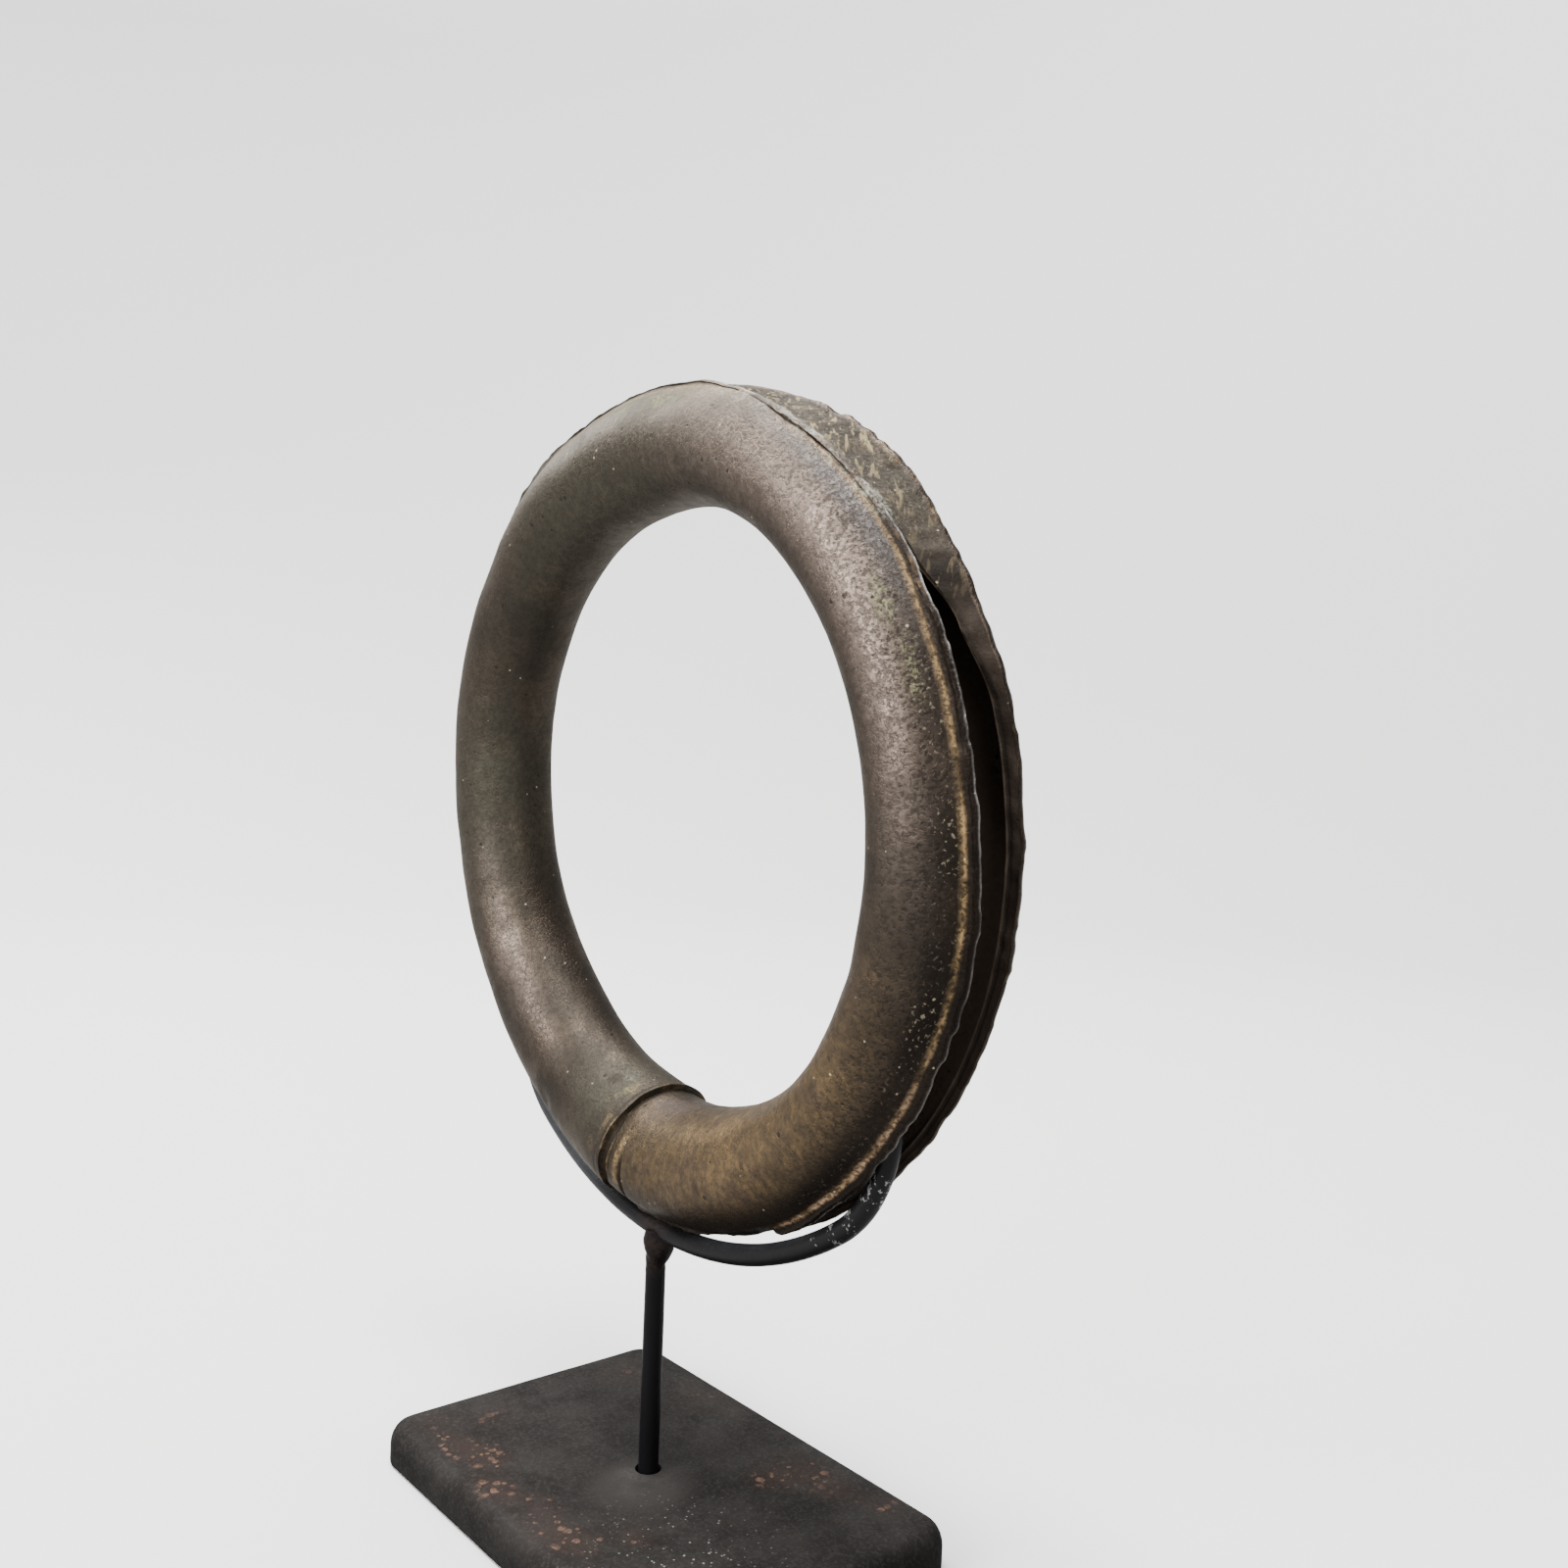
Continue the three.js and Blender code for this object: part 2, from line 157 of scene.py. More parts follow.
class SheetMesh:
    """A mesh from rows of points, with named values at each point."""

    def __init__(self, name: str) -> None:
        """Starts an empty mesh.

        Args:
            name: Name of the object that the mesh becomes.
        """
        self.name = name
        self.points: list[np.ndarray] = []
        self.faces: list[tuple[int, ...]] = []
        self.count = 0

    def add_points(self, points: np.ndarray) -> int:
        """Adds points.

        Args:
            points: Millimetre positions, one a row.

        Returns:
            The number of the first of them.
        """
        first = self.count
        self.points.append(points.reshape(-1, 3))
        self.count += self.points[-1].shape[0]
        return first

    def add_rows(self, grid: np.ndarray, closed_rows: bool) -> int:
        """Adds a skin through rows of points, each row a closed loop.

        Args:
            grid: Positions by row and column.
            closed_rows: Whether the last row joins the first.

        Returns:
            The number of the first point.
        """
        rows, columns = grid.shape[:2]
        first = self.add_points(grid)
        for row in range(rows if closed_rows else rows - 1):
            self.join(first + row * columns, first + (row + 1) % rows * columns, columns)
        return first

    def join(self, near: int, far: int, columns: int) -> None:
        """Adds a strip of faces between two loops.

        Args:
            near: Number of the first loop's first point.
            far: Number of the second loop's first point.
            columns: Points in each loop.
        """
        for column in range(columns):
            side = (column + 1) % columns
            self.faces.append((near + column, near + side, far + side, far + column))

    def cap(self, first: int, columns: int, centre: np.ndarray, turned: bool) -> None:
        """Closes a loop of points with a fan.

        Args:
            first: Number of the loop's first point.
            columns: Points in the loop.
            centre: Position of the fan's middle.
            turned: Whether the fan faces the other way.
        """
        middle = self.add_points(centre)
        for column in range(columns):
            a = first + column
            b = first + (column + 1) % columns
            self.faces.append((middle, b, a) if turned else (middle, a, b))

    def build(self, masks: dict[str, np.ndarray], sharp_degrees: float) -> bpy.types.Object:
        """Makes the object.

        Args:
            masks: Values from 0 to 1 at each point, by name.
            sharp_degrees: Edges that bend more than this stay sharp.

        Returns:
            The object, linked to the scene.
        """
        mesh = bpy.data.meshes.new(self.name)
        points = np.concatenate(self.points) * MM
        mesh.from_pydata(points.tolist(), [], self.faces)
        for name, values in masks.items():
            if values.shape[-1] == 3:
                layer = mesh.attributes.new(name, "FLOAT_VECTOR", "POINT")
                layer.data.foreach_set("vector", values.astype(np.float32).ravel())
            else:
                layer = mesh.attributes.new(name, "FLOAT", "POINT")
                layer.data.foreach_set("value", np.clip(values, 0.0, 1.0).astype(np.float32).ravel())
        mesh.polygons.foreach_set("use_smooth", np.ones(len(mesh.polygons), dtype=bool))
        mesh.set_sharp_from_angle(angle=math.radians(sharp_degrees))
        mesh.update()
        piece = bpy.data.objects.new(self.name, mesh)
        bpy.context.scene.collection.objects.link(piece)
        return piece


def dress(piece: bpy.types.Object, node: str, material: bpy.types.Material) -> None:
    """Puts a finished piece in the place of its solid.

    Args:
        piece: The finished piece.
        node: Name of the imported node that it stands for.
        material: Its finish.
    """
    piece.data.materials.append(material)
    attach(piece, "root")
    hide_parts(node)
    log.info("%s: %d faces", piece.name, len(piece.data.polygons))


class Wiring:
    """Adds nodes to one node tree and joins them."""

    def __init__(self, tree: Tree) -> None:
        """Takes the tree to work on."""
        self.tree = tree

    def node(self, kind: str, **settings: object) -> bpy.types.Node:
        """Adds a node.

        Args:
            kind: Blender's name for the node's type.
            settings: Properties to set on it.

        Returns:
            The node.
        """
        node = self.tree.nodes.new(kind)
        for name, value in settings.items():
            setattr(node, name, value)
        return node

    def feed(self, socket: Socket, source: Source) -> None:
        """Joins source to socket, or sets it as the socket's value."""
        if isinstance(source, Socket):
            self.tree.links.new(source, socket)
        elif isinstance(source, tuple) and len(source) == 3 and socket.type == "RGBA":
            socket.default_value = (*source, 1.0)
        else:
            socket.default_value = source

    def math(self, operation: str, first: Source, second: Source = 0.0, clamp: bool = False) -> Socket:
        """Adds a Math node and returns its output."""
        node = self.node("ShaderNodeMath", operation=operation, use_clamp=clamp)
        self.feed(node.inputs[0], first)
        self.feed(node.inputs[1], second)
        return node.outputs[0]

    def times(self, first: Source, second: Source) -> Socket:
        """Multiplies two values."""
        return self.math("MULTIPLY", first, second)

    def plus(self, first: Source, second: Source, clamp: bool = False) -> Socket:
        """Adds two values."""
        return self.math("ADD", first, second, clamp)

    def scaled(self, value: Source, factor: float, offset: float, clamp: bool = False) -> Socket:
        """Multiplies a value by factor, then adds offset."""
        node = self.math("MULTIPLY_ADD", value, factor, clamp).node
        node.inputs[2].default_value = offset
        return node.outputs[0]

    def total(self, value: Source, *terms: tuple[Source, float]) -> Socket:
        """Adds each of the terms to a value, times its weight."""
        for term, weight in terms:
            value = self.plus(value, self.times(term, weight))
        return value

    def blend(self, share: Source, first: Source, second: Source) -> Socket:
        """Mixes two colours and returns the result."""
        node = self.node("ShaderNodeMix", data_type="RGBA")
        self.feed(node.inputs[0], share)
        self.feed(node.inputs[6], first)
        self.feed(node.inputs[7], second)
        return node.outputs[2]

    def coats(self, colour: Source, *coats: tuple[Source, Colour]) -> Socket:
        """Lays coats over a colour in order, each with the share that it covers."""
        for share, coat in coats:
            colour = self.blend(share, colour, coat)
        return colour

    def span(self, value: Source, low: Source, high: Source, start: float = 0.0, end: float = 1.0) -> Socket:
        """Maps low to high onto start to end, smoothly and clamped."""
        node = self.node("ShaderNodeMapRange", interpolation_type="SMOOTHSTEP")
        for socket, source in zip(node.inputs[:5], (value, low, high, start, end)):
            self.feed(socket, source)
        return node.outputs[0]

    def noise(self, place: Source, scale: Source, detail: float = 2.0, rough: float = 0.5) -> bpy.types.Node:
        """Adds a Noise Texture node."""
        node = self.node("ShaderNodeTexNoise")
        settings = {"Vector": place, "Scale": scale, "Detail": detail, "Roughness": rough}
        for name, source in settings.items():
            self.feed(node.inputs[name], source)
        return node

    def bump(self, shader: bpy.types.Node, height: Source, strength: float, distance: float) -> None:
        """Bends the shader's normal by a height. The distance is in metres."""
        node = self.node("ShaderNodeBump")
        settings = {"Height": height, "Strength": strength, "Distance": distance}
        for name, source in settings.items():
            self.feed(node.inputs[name], source)
        self.feed(shader.inputs["Normal"], node.outputs[0])

    def mask(self, name: str) -> Socket:
        """Reads a value that the mesh carries at its points."""
        return self.node("ShaderNodeAttribute", attribute_name=name).outputs["Fac"]

    def vector(self, name: str) -> Socket:
        """Reads a vector that the mesh carries at its points."""
        return self.node("ShaderNodeAttribute", attribute_name=name).outputs["Vector"]

    def place(self) -> Socket:
        """Position in the object's own frame, in metres."""
        return self.node("ShaderNodeTexCoord").outputs["Object"]

    def group(self, tree: Tree, **inputs: Source) -> Socket:
        """Places a shared effect with its own values and returns its output."""
        node = self.node("ShaderNodeGroup", node_tree=tree)
        for name, source in inputs.items():
            self.feed(node.inputs[name.replace("_", " ").capitalize()], source)
        return node.outputs[0]


class Effects:
    """The shader effects that several finishes share, each built once."""

    def __init__(self) -> None:
        """Builds every shared effect."""
        self.patches = self._patches()
        self.specks = self._specks()
        self.grain = self._grain()
        self.scratches = self._scratches()

    @staticmethod
    def _start(name: str, inputs: dict[str, float]) -> tuple[Tree, Wiring, dict[str, Socket]]:
        """Opens a node group.

        Args:
            name: The group's name.
            inputs: Names and usual values of its number inputs, after the place.

        Returns:
            The group, a wiring for it, and its input sockets by name.
        """
        tree = bpy.data.node_groups.new(name, "ShaderNodeTree")
        tree.interface.new_socket("Place", in_out="INPUT", socket_type="NodeSocketVector")
        for title, value in inputs.items():
            socket = tree.interface.new_socket(title, in_out="INPUT", socket_type="NodeSocketFloat")
            socket.default_value = value
        tree.interface.new_socket("Mask", in_out="OUTPUT", socket_type="NodeSocketFloat")
        wiring = Wiring(tree)
        entry = wiring.node("NodeGroupInput")
        return tree, wiring, {socket.name: socket for socket in entry.outputs if socket.name}

    @staticmethod
    def _finish(wiring: Wiring, result: Socket) -> None:
        """Joins a group's result to its output."""
        wiring.feed(wiring.node("NodeGroupOutput").inputs[0], result)

    def _patches(self) -> Tree:
        """Soft-edged patches, such as tarnish. Cover is the share of the surface that they take."""
        tree, wiring, given = self._start("patches", {"Scale": 100.0, "Cover": 0.5, "Softness": 0.1})
        noise = wiring.noise(given["Place"], given["Scale"], detail=5.0, rough=0.62)
        middle = wiring.scaled(given["Cover"], -0.5, 0.75)
        low = wiring.math("SUBTRACT", middle, given["Softness"])
        high = wiring.plus(middle, given["Softness"])
        self._finish(wiring, wiring.span(noise.outputs[0], low, high))
        return tree

    def _specks(self) -> Tree:
        """Small uneven specks. Cover is the share of cells that hold one, and Size its share of the cell."""
        tree, wiring, given = self._start("specks", {"Scale": 1000.0, "Cover": 0.2, "Size": 0.3})
        wobble = wiring.noise(given["Place"], wiring.times(given["Scale"], 2.3))
        shift = wiring.node("ShaderNodeVectorMath", operation="SCALE")
        wiring.feed(shift.inputs[0], wobble.outputs["Color"])
        wiring.feed(shift.inputs["Scale"], wiring.math("DIVIDE", 0.45, given["Scale"]))
        moved = wiring.node("ShaderNodeVectorMath", operation="ADD")
        wiring.feed(moved.inputs[0], given["Place"])
        wiring.feed(moved.inputs[1], shift.outputs[0])
        cells = wiring.node("ShaderNodeTexVoronoi")
        wiring.feed(cells.inputs["Vector"], moved.outputs[0])
        wiring.feed(cells.inputs["Scale"], given["Scale"])
        parted = wiring.node("ShaderNodeSeparateColor")
        wiring.feed(parted.inputs[0], cells.outputs["Color"])
        chosen = wiring.math("LESS_THAN", parted.outputs[0], given["Cover"])
        reach = wiring.times(given["Size"], wiring.plus(parted.outputs[1], 0.4))
        inside = wiring.math("SUBTRACT", reach, cells.outputs["Distance"])
        self._finish(wiring, wiring.times(chosen, wiring.span(inside, 0.0, 0.1)))
        return tree

    def _grain(self) -> Tree:
        """Fine uneven grain, from 0 to 1. Coarse is the share of its longer waves."""
        tree, wiring, given = self._start("grain", {"Scale": 1500.0, "Coarse": 0.5})
        fine = wiring.noise(given["Place"], given["Scale"], detail=3.0, rough=0.7)
        coarse = wiring.noise(given["Place"], wiring.times(given["Scale"], 0.2), detail=3.0)
        joined = wiring.node("ShaderNodeMix", data_type="FLOAT")
        wiring.feed(joined.inputs[0], given["Coarse"])
        wiring.feed(joined.inputs[2], fine.outputs[0])
        wiring.feed(joined.inputs[3], coarse.outputs[0])
        self._finish(wiring, joined.outputs[0])
        return tree

    def _scratches(self) -> Tree:
        """Short stretched marks. Stretch is how many times longer than wide they are."""
        tree, wiring, given = self._start("scratches", {"Scale": 900.0, "Stretch": 6.0, "Cover": 0.3})
        squeeze = wiring.node("ShaderNodeCombineXYZ")
        wiring.feed(squeeze.inputs[0], 1.0)
        wiring.feed(squeeze.inputs[1], 1.0)
        wiring.feed(squeeze.inputs[2], wiring.math("DIVIDE", 1.0, given["Stretch"]))
        turned = wiring.node("ShaderNodeVectorRotate", rotation_type="EULER_XYZ")
        turned.inputs["Rotation"].default_value = (0.5, 0.5, 0.0)
        wiring.feed(turned.inputs["Vector"], given["Place"])
        pressed = wiring.node("ShaderNodeVectorMath", operation="MULTIPLY")
        wiring.feed(pressed.inputs[0], turned.outputs[0])
        wiring.feed(pressed.inputs[1], squeeze.outputs[0])
        noise = wiring.noise(pressed.outputs[0], given["Scale"])
        middle = wiring.scaled(given["Cover"], -0.5, 0.78)
        self._finish(wiring, wiring.span(noise.outputs[0], middle, wiring.plus(middle, 0.12)))
        return tree


def start_material(name: str) -> tuple[bpy.types.Material, Wiring, bpy.types.Node]:
    """Opens a material with one Principled shader.

    Args:
        name: The material's name.

    Returns:
        The material, a wiring for it, and its shader node.
    """
    material = bpy.data.materials.new(name)
    material.use_nodes = True
    material.node_tree.nodes.clear()
    wiring = Wiring(material.node_tree)
    shader = wiring.node("ShaderNodeBsdfPrincipled")
    output = wiring.node("ShaderNodeOutputMaterial")
    wiring.feed(output.inputs["Surface"], shader.outputs[0])
    return material, wiring, shader


class BronzeTextures:
    """The uneven effects that the bronze's colour, roughness and bump share."""

    def __init__(self, wiring: Wiring, effects: Effects) -> None:
        """Places every effect once.

        Args:
            wiring: The material's wiring.
            effects: The shared shader effects.
        """
        place = wiring.place()
        patches, specks, scratches = effects.patches, effects.specks, effects.scratches
        self.tarnish = wiring.group(patches, place=place, scale=90.0, cover=0.5, softness=0.16)
        streaks = wiring.vector("streaks")
        self.mottle = wiring.group(patches, place=streaks, scale=760.0, cover=0.5, softness=0.22)
        stain = wiring.group(patches, place=place, scale=230.0, cover=0.4, softness=0.1)
        self.stain = wiring.times(stain, wiring.mask("golden"))
        self.dapple = wiring.group(patches, place=place, scale=900.0, cover=0.5, softness=0.16)
        self.speckle = wiring.group(patches, place=place, scale=1750.0, cover=0.46, softness=0.06)
        pitting = wiring.scaled(wiring.mask("pitted"), 0.55, 0.22, clamp=True)
        self.pitting = wiring.times(self.speckle, pitting)
        self.fine = wiring.group(effects.grain, place=place, scale=2600.0, coarse=0.35)
        self.pits = wiring.group(specks, place=place, scale=900.0, cover=0.07, size=0.3)
        self.dust = wiring.group(specks, place=place, scale=1700.0, cover=0.012, size=0.3)
        marks = wiring.group(scratches, place=place, scale=1100.0, stretch=7.0, cover=0.28)
        self.worn = wiring.times(wiring.mask("scraped"), marks)
        peel = wiring.group(specks, place=place, scale=1500.0, cover=0.45, size=0.3)
        self.peel = wiring.times(peel, wiring.mask("pitted"))
        grit = wiring.group(patches, place=place, scale=1900.0, cover=0.26, softness=0.03)
        self.grit = wiring.times(grit, wiring.mask("gritty"))
        soil = wiring.span(self.speckle, 0.0, 1.0, 1.0, 0.3)
        soil = wiring.times(soil, wiring.span(self.dapple, 0.0, 1.0, 1.0, 0.45))
        self.soil = wiring.times(wiring.mask("soil"), soil)
        crust = wiring.group(patches, place=place, scale=1500.0, cover=0.5, softness=0.05)
        crust = wiring.times(wiring.mask("crust"), crust)
        self.crust = wiring.times(crust, wiring.span(self.dapple, 0.2, 0.9, 1.0, 0.25))
        lichen = wiring.group(patches, place=place, scale=1900.0, cover=0.42, softness=0.06)
        self.lichen = wiring.times(lichen, wiring.mask("lichen"))
        strokes = wiring.group(scratches, place=place, scale=1300.0, stretch=5.0, cover=0.46)
        self.strokes = wiring.times(strokes, wiring.mask("fibrous"))
        cover = wiring.math("MAXIMUM", self.soil, self.crust)
        for deposit in (wiring.times(self.dust, 0.6), wiring.times(self.lichen, 0.8)):
            cover = wiring.math("MAXIMUM", cover, deposit)
        for name in ("hollow", "earthy"):
            cover = wiring.math("MAXIMUM", cover, wiring.mask(name))
        self.cover = cover


@dataclass(frozen=True)
class AgedBronze:
    """Dark brown bronze with hammer wear, tarnish, soil in the hollows and green crust, with painted
    highlights and painted shade where the mesh's masks lie.
    """

    brown: Colour = (0.072, 0.051, 0.037)
    dark: Colour = (0.024, 0.019, 0.016)
    # Painted shade: the dark band beside the crease.
    slate: Colour = (0.040, 0.039, 0.041)
    # Painted highlight: bright rosy metal where the highlights fall.
    painted_highlight: Colour = (0.300, 0.228, 0.190)
    golden: Colour = (0.315, 0.204, 0.090)
    olive: Colour = (0.086, 0.081, 0.060)
    # Golden soil; along the front lip's crease it also makes a painted highlight.
    soil: Colour = (0.340, 0.225, 0.105)
    crust: Colour = (0.310, 0.320, 0.265)
    bore: Colour = (0.230, 0.170, 0.125)
    straw: Colour = (0.300, 0.235, 0.125)
    plum: Colour = (0.060, 0.040, 0.036)
    # Pinkish: a painted highlight with dust on the lower crease.
    flesh: Colour = (0.470, 0.320, 0.215)
    # Painted shade: duller mauve that tones down a highlight in front of the joint.
    mauve: Colour = (0.090, 0.074, 0.068)
    lichen: Colour = (0.210, 0.215, 0.105)
    pale: Colour = (0.420, 0.360, 0.260)
    # Painted highlight, with some wear, on the lips' edges.
    bright: Colour = (0.480, 0.450, 0.420)
    # Near-black, for painted shade in the bore, the slit and under the lips, and for the joint's dark lines.
    hollow: Colour = (0.008, 0.006, 0.005)

    def build(self, effects: Effects) -> bpy.types.Material:
        """Makes the material.

        Args:
            effects: The shared shader effects.

        Returns:
            The material. It reads the masks that the bangle's mesh carries.
        """
        material, wiring, shader = start_material("aged_bronze")
        made = BronzeTextures(wiring, effects)
        colour = self.deposits(wiring, made, self.patina(wiring, made))
        wiring.feed(shader.inputs["Base Color"], colour)
        wiring.feed(shader.inputs["Metallic"], wiring.scaled(made.cover, -0.8, 0.88))
        roughness = wiring.span(made.tarnish, 0.0, 1.0, 0.31, 0.42)
        roughness = wiring.total(roughness, (made.mottle, 0.08), (wiring.mask("olive"), 0.1))
        roughness = wiring.plus(roughness, wiring.times(made.cover, 0.4), clamp=True)
        wiring.feed(shader.inputs["Roughness"], roughness)
        wiring.bump(shader, self.height(wiring, made), 0.6, 0.00014)
        shader.inputs["Specular Tint"].default_value = (0.86, 0.82, 0.78, 1.0)
        shader.inputs["Specular IOR Level"].default_value = 0.15
        return material

    def patina(self, wiring: Wiring, made: BronzeTextures) -> Socket:
        """The metal's colours from the ground up, with a painted highlight on the rosy metal and painted
        shade: the slate band, the dark shade with grime and the mauve patch.

        Args:
            wiring: The material's wiring.
            made: The effects that break the colours up.

        Returns:
            The colour.
        """
        return wiring.coats(
            wiring.blend(made.tarnish, self.brown, self.dark),
            # Painted highlight on the rosy metal.
            (wiring.times(wiring.mask("painted_highlight"), 0.8), self.painted_highlight),
            (wiring.times(wiring.mask("golden"), wiring.span(made.mottle, 0.0, 1.0, 0.9, 0.5)), self.golden),
            (wiring.times(wiring.mask("olive"), wiring.span(made.mottle, 0.0, 1.0, 0.6, 0.9)), self.olive),
            (wiring.times(made.mottle, 0.3), self.dark),
            (wiring.times(made.dapple, 0.38), self.dark),
            (wiring.times(made.stain, 0.5), self.plum),
            # Painted shade: the slate band beside the crease.
            (wiring.mask("slate_shade"), self.slate),
            (made.pitting, self.dark),
            (wiring.times(made.peel, 0.7), self.dark),
            (wiring.mask("lining"), self.bore),
            # Painted shade with some grime, near-black.
            (wiring.times(wiring.mask("shade_and_grime"), 0.93), self.hollow),
            (wiring.times(made.pits, 0.75), self.dark),
            # Painted shade: the mauve patch in front of the joint.
            (wiring.mask("mauve"), self.mauve),
            (wiring.times(made.worn, 0.8), self.dark),
        )

    def deposits(self, wiring: Wiring, made: BronzeTextures, colour: Socket) -> Socket:
        """Soil, crust, painted highlights and painted shade over the metal: a painted highlight in the
        crease's soil, a painted highlight with some wear on the lips' edges, and near-black painted shade in
        the hollows.

        Args:
            wiring: The material's wiring.
            made: The effects that break the colours up.
            colour: The metal's colour.

        Returns:
            The colour with everything on it.
        """
        crease_glint_and_dust = wiring.times(wiring.mask("crease_glint_and_dust"), wiring.span(made.speckle, 0.0, 1.0, 0.75, 0.2))
        glint_and_wear = wiring.times(wiring.mask("glint_and_wear"), wiring.span(made.fine, 0.35, 0.6, 0.4, 1.0))
        return wiring.coats(
            colour,
            (made.soil, self.soil),
            # Painted highlight with dust on the lower crease.
            (crease_glint_and_dust, self.flesh),
            (made.crust, self.crust),
            (made.lichen, self.lichen),
            (wiring.times(made.dust, 0.7), self.pale),
            (wiring.times(made.grit, 0.55), self.pale),
            (wiring.times(made.strokes, 0.75), self.straw),
            # Painted highlight on the lips' edges, with some wear.
            (glint_and_wear, self.bright),
            # Painted shade: near-black in the bore and the open slit, with the joint's dark lines.
            (wiring.mask("hollow"), self.hollow),
        )

    @staticmethod
    def height(wiring: Wiring, made: BronzeTextures) -> Socket:
        """The fine unevenness, as shares of the bump's distance.

        Args:
            wiring: The material's wiring.
            made: The effects that stand out or lie deeper.

        Returns:
            The height.
        """
        return wiring.total(
            wiring.times(made.fine, wiring.scaled(wiring.mask("pitted"), 1.6, 0.45)),
            (made.peel, -1.3), (made.grit, 1.2), (made.lichen, 0.8), (made.strokes, 0.9),
            (made.pitting, -1.2), (made.pits, -0.9), (made.worn, -1.2), (made.crust, 1.5), (made.soil, 0.6),
        )


@dataclass(frozen=True)
class BlackPaint:
    """Satin black paint, chipped to bare metal where the mesh says, with a painted sheen where the mesh says.
    """

    name: str
    paint: Colour = (0.0042, 0.0038, 0.0045)
    bare: Colour = (0.27, 0.27, 0.26)
    rust: Colour = (0.018, 0.012, 0.010)
    # Painted sheen: grey-blue lightening on the wire's top and left arm.
    painted_sheen: Colour = (0.050, 0.052, 0.056)
    specular: float = 0.16

    def build(self, effects: Effects) -> bpy.types.Material:
        """Makes the material.

        Args:
            effects: The shared shader effects.

        Returns:
            The material.
        """
        material, wiring, shader = start_material(self.name)
        place = wiring.place()
        fine = wiring.group(effects.grain, place=place, scale=1800.0, coarse=0.4)
        flakes = wiring.group(effects.patches, place=place, scale=1300.0, cover=0.36, softness=0.03)
        chipped = wiring.times(wiring.mask("chipped"), flakes)
        chipped = wiring.span(chipped, 0.35, 0.5)
        scorched = wiring.times(wiring.mask("scorched"), wiring.span(fine, 0.35, 0.65))
        # Painted sheen on the wire.
        sheen = wiring.times(wiring.mask("painted_sheen"), wiring.span(fine, 0.3, 0.7, 0.5, 1.0))
        coats = ((scorched, self.rust), (sheen, self.painted_sheen), (chipped, self.bare))
        wiring.feed(shader.inputs["Base Color"], wiring.coats(self.paint, *coats))
        wiring.feed(shader.inputs["Metallic"], wiring.times(chipped, 0.6))
        shader.inputs["Specular IOR Level"].default_value = self.specular
        roughness = wiring.total(wiring.span(fine, 0.3, 0.7, 0.36, 0.46), (scorched, 0.25))
        wiring.feed(shader.inputs["Roughness"], roughness)
        wiring.bump(shader, wiring.math("SUBTRACT", fine, chipped), 0.35, 0.0001)
        return material


@dataclass(frozen=True)
class RustedPlate:
    """Matte charcoal paint on steel, speckled with rust that gathers where the mesh says."""

    paint: Colour = (0.0062, 0.0058, 0.0056)
    dusty: Colour = (0.030, 0.028, 0.026)
    rust: Colour = (0.078, 0.047, 0.034)
    brown: Colour = (0.026, 0.015, 0.011)
    pale: Colour = (0.130, 0.125, 0.115)

    def build(self, effects: Effects) -> bpy.types.Material:
        """Makes the material.

        Args:
            effects: The shared shader effects.

        Returns:
            The material.
        """
        material, wiring, shader = start_material("rusted_plate")
        place = wiring.place()
        fine = wiring.group(effects.grain, place=place, scale=2200.0, coarse=0.3)
        cloud = wiring.group(effects.patches, place=place, scale=120.0, cover=0.5, softness=0.2)
        gathered = wiring.group(effects.patches, place=place, scale=260.0, cover=0.5, softness=0.12)
        flecks = wiring.group(effects.specks, place=place, scale=640.0, cover=0.6, size=0.42)
        small = wiring.group(effects.specks, place=place, scale=1200.0, cover=0.3, size=0.4)
        grit = wiring.group(effects.specks, place=place, scale=1900.0, cover=0.2, size=0.3)
        rusty = wiring.times(wiring.mask("rusty"), wiring.span(gathered, 0.0, 1.0, 0.45, 1.0))
        chips = wiring.math("MAXIMUM", flecks, wiring.times(small, 0.8))
        rusty = wiring.times(wiring.span(rusty, 0.18, 0.6), chips)
        rusty = wiring.times(rusty, wiring.span(fine, 0.38, 0.56, 0.15, 1.0))
        speckle = wiring.group(effects.patches, place=place, scale=1800.0, cover=0.4, softness=0.08)
        dusty = wiring.times(wiring.mask("dusty"), wiring.span(speckle, 0.0, 1.0, 1.0, 0.5))
        dusty = wiring.times(dusty, wiring.span(cloud, 0.0, 1.0, 1.0, 0.5))
        colour = wiring.coats(
            self.paint,
            (wiring.times(cloud, 0.3), self.dusty),
            (wiring.times(speckle, 0.3), self.dusty),
            (dusty, self.dusty),
            (wiring.times(wiring.mask("rusty"), 0.4), self.brown),
            (rusty, self.rust),
            (wiring.times(grit, wiring.mask("sparkling")), self.pale),
        )
        wiring.feed(shader.inputs["Base Color"], colour)
        shader.inputs["Metallic"].default_value = 0.0
        shader.inputs["Specular IOR Level"].default_value = 0.05
        roughness = wiring.total(wiring.span(fine, 0.3, 0.7, 0.62, 0.78), (rusty, 0.2))
        wiring.feed(shader.inputs["Roughness"], roughness)
        wiring.bump(shader, wiring.total(fine, (rusty, 1.2)), 0.5, 0.00012)
        return material


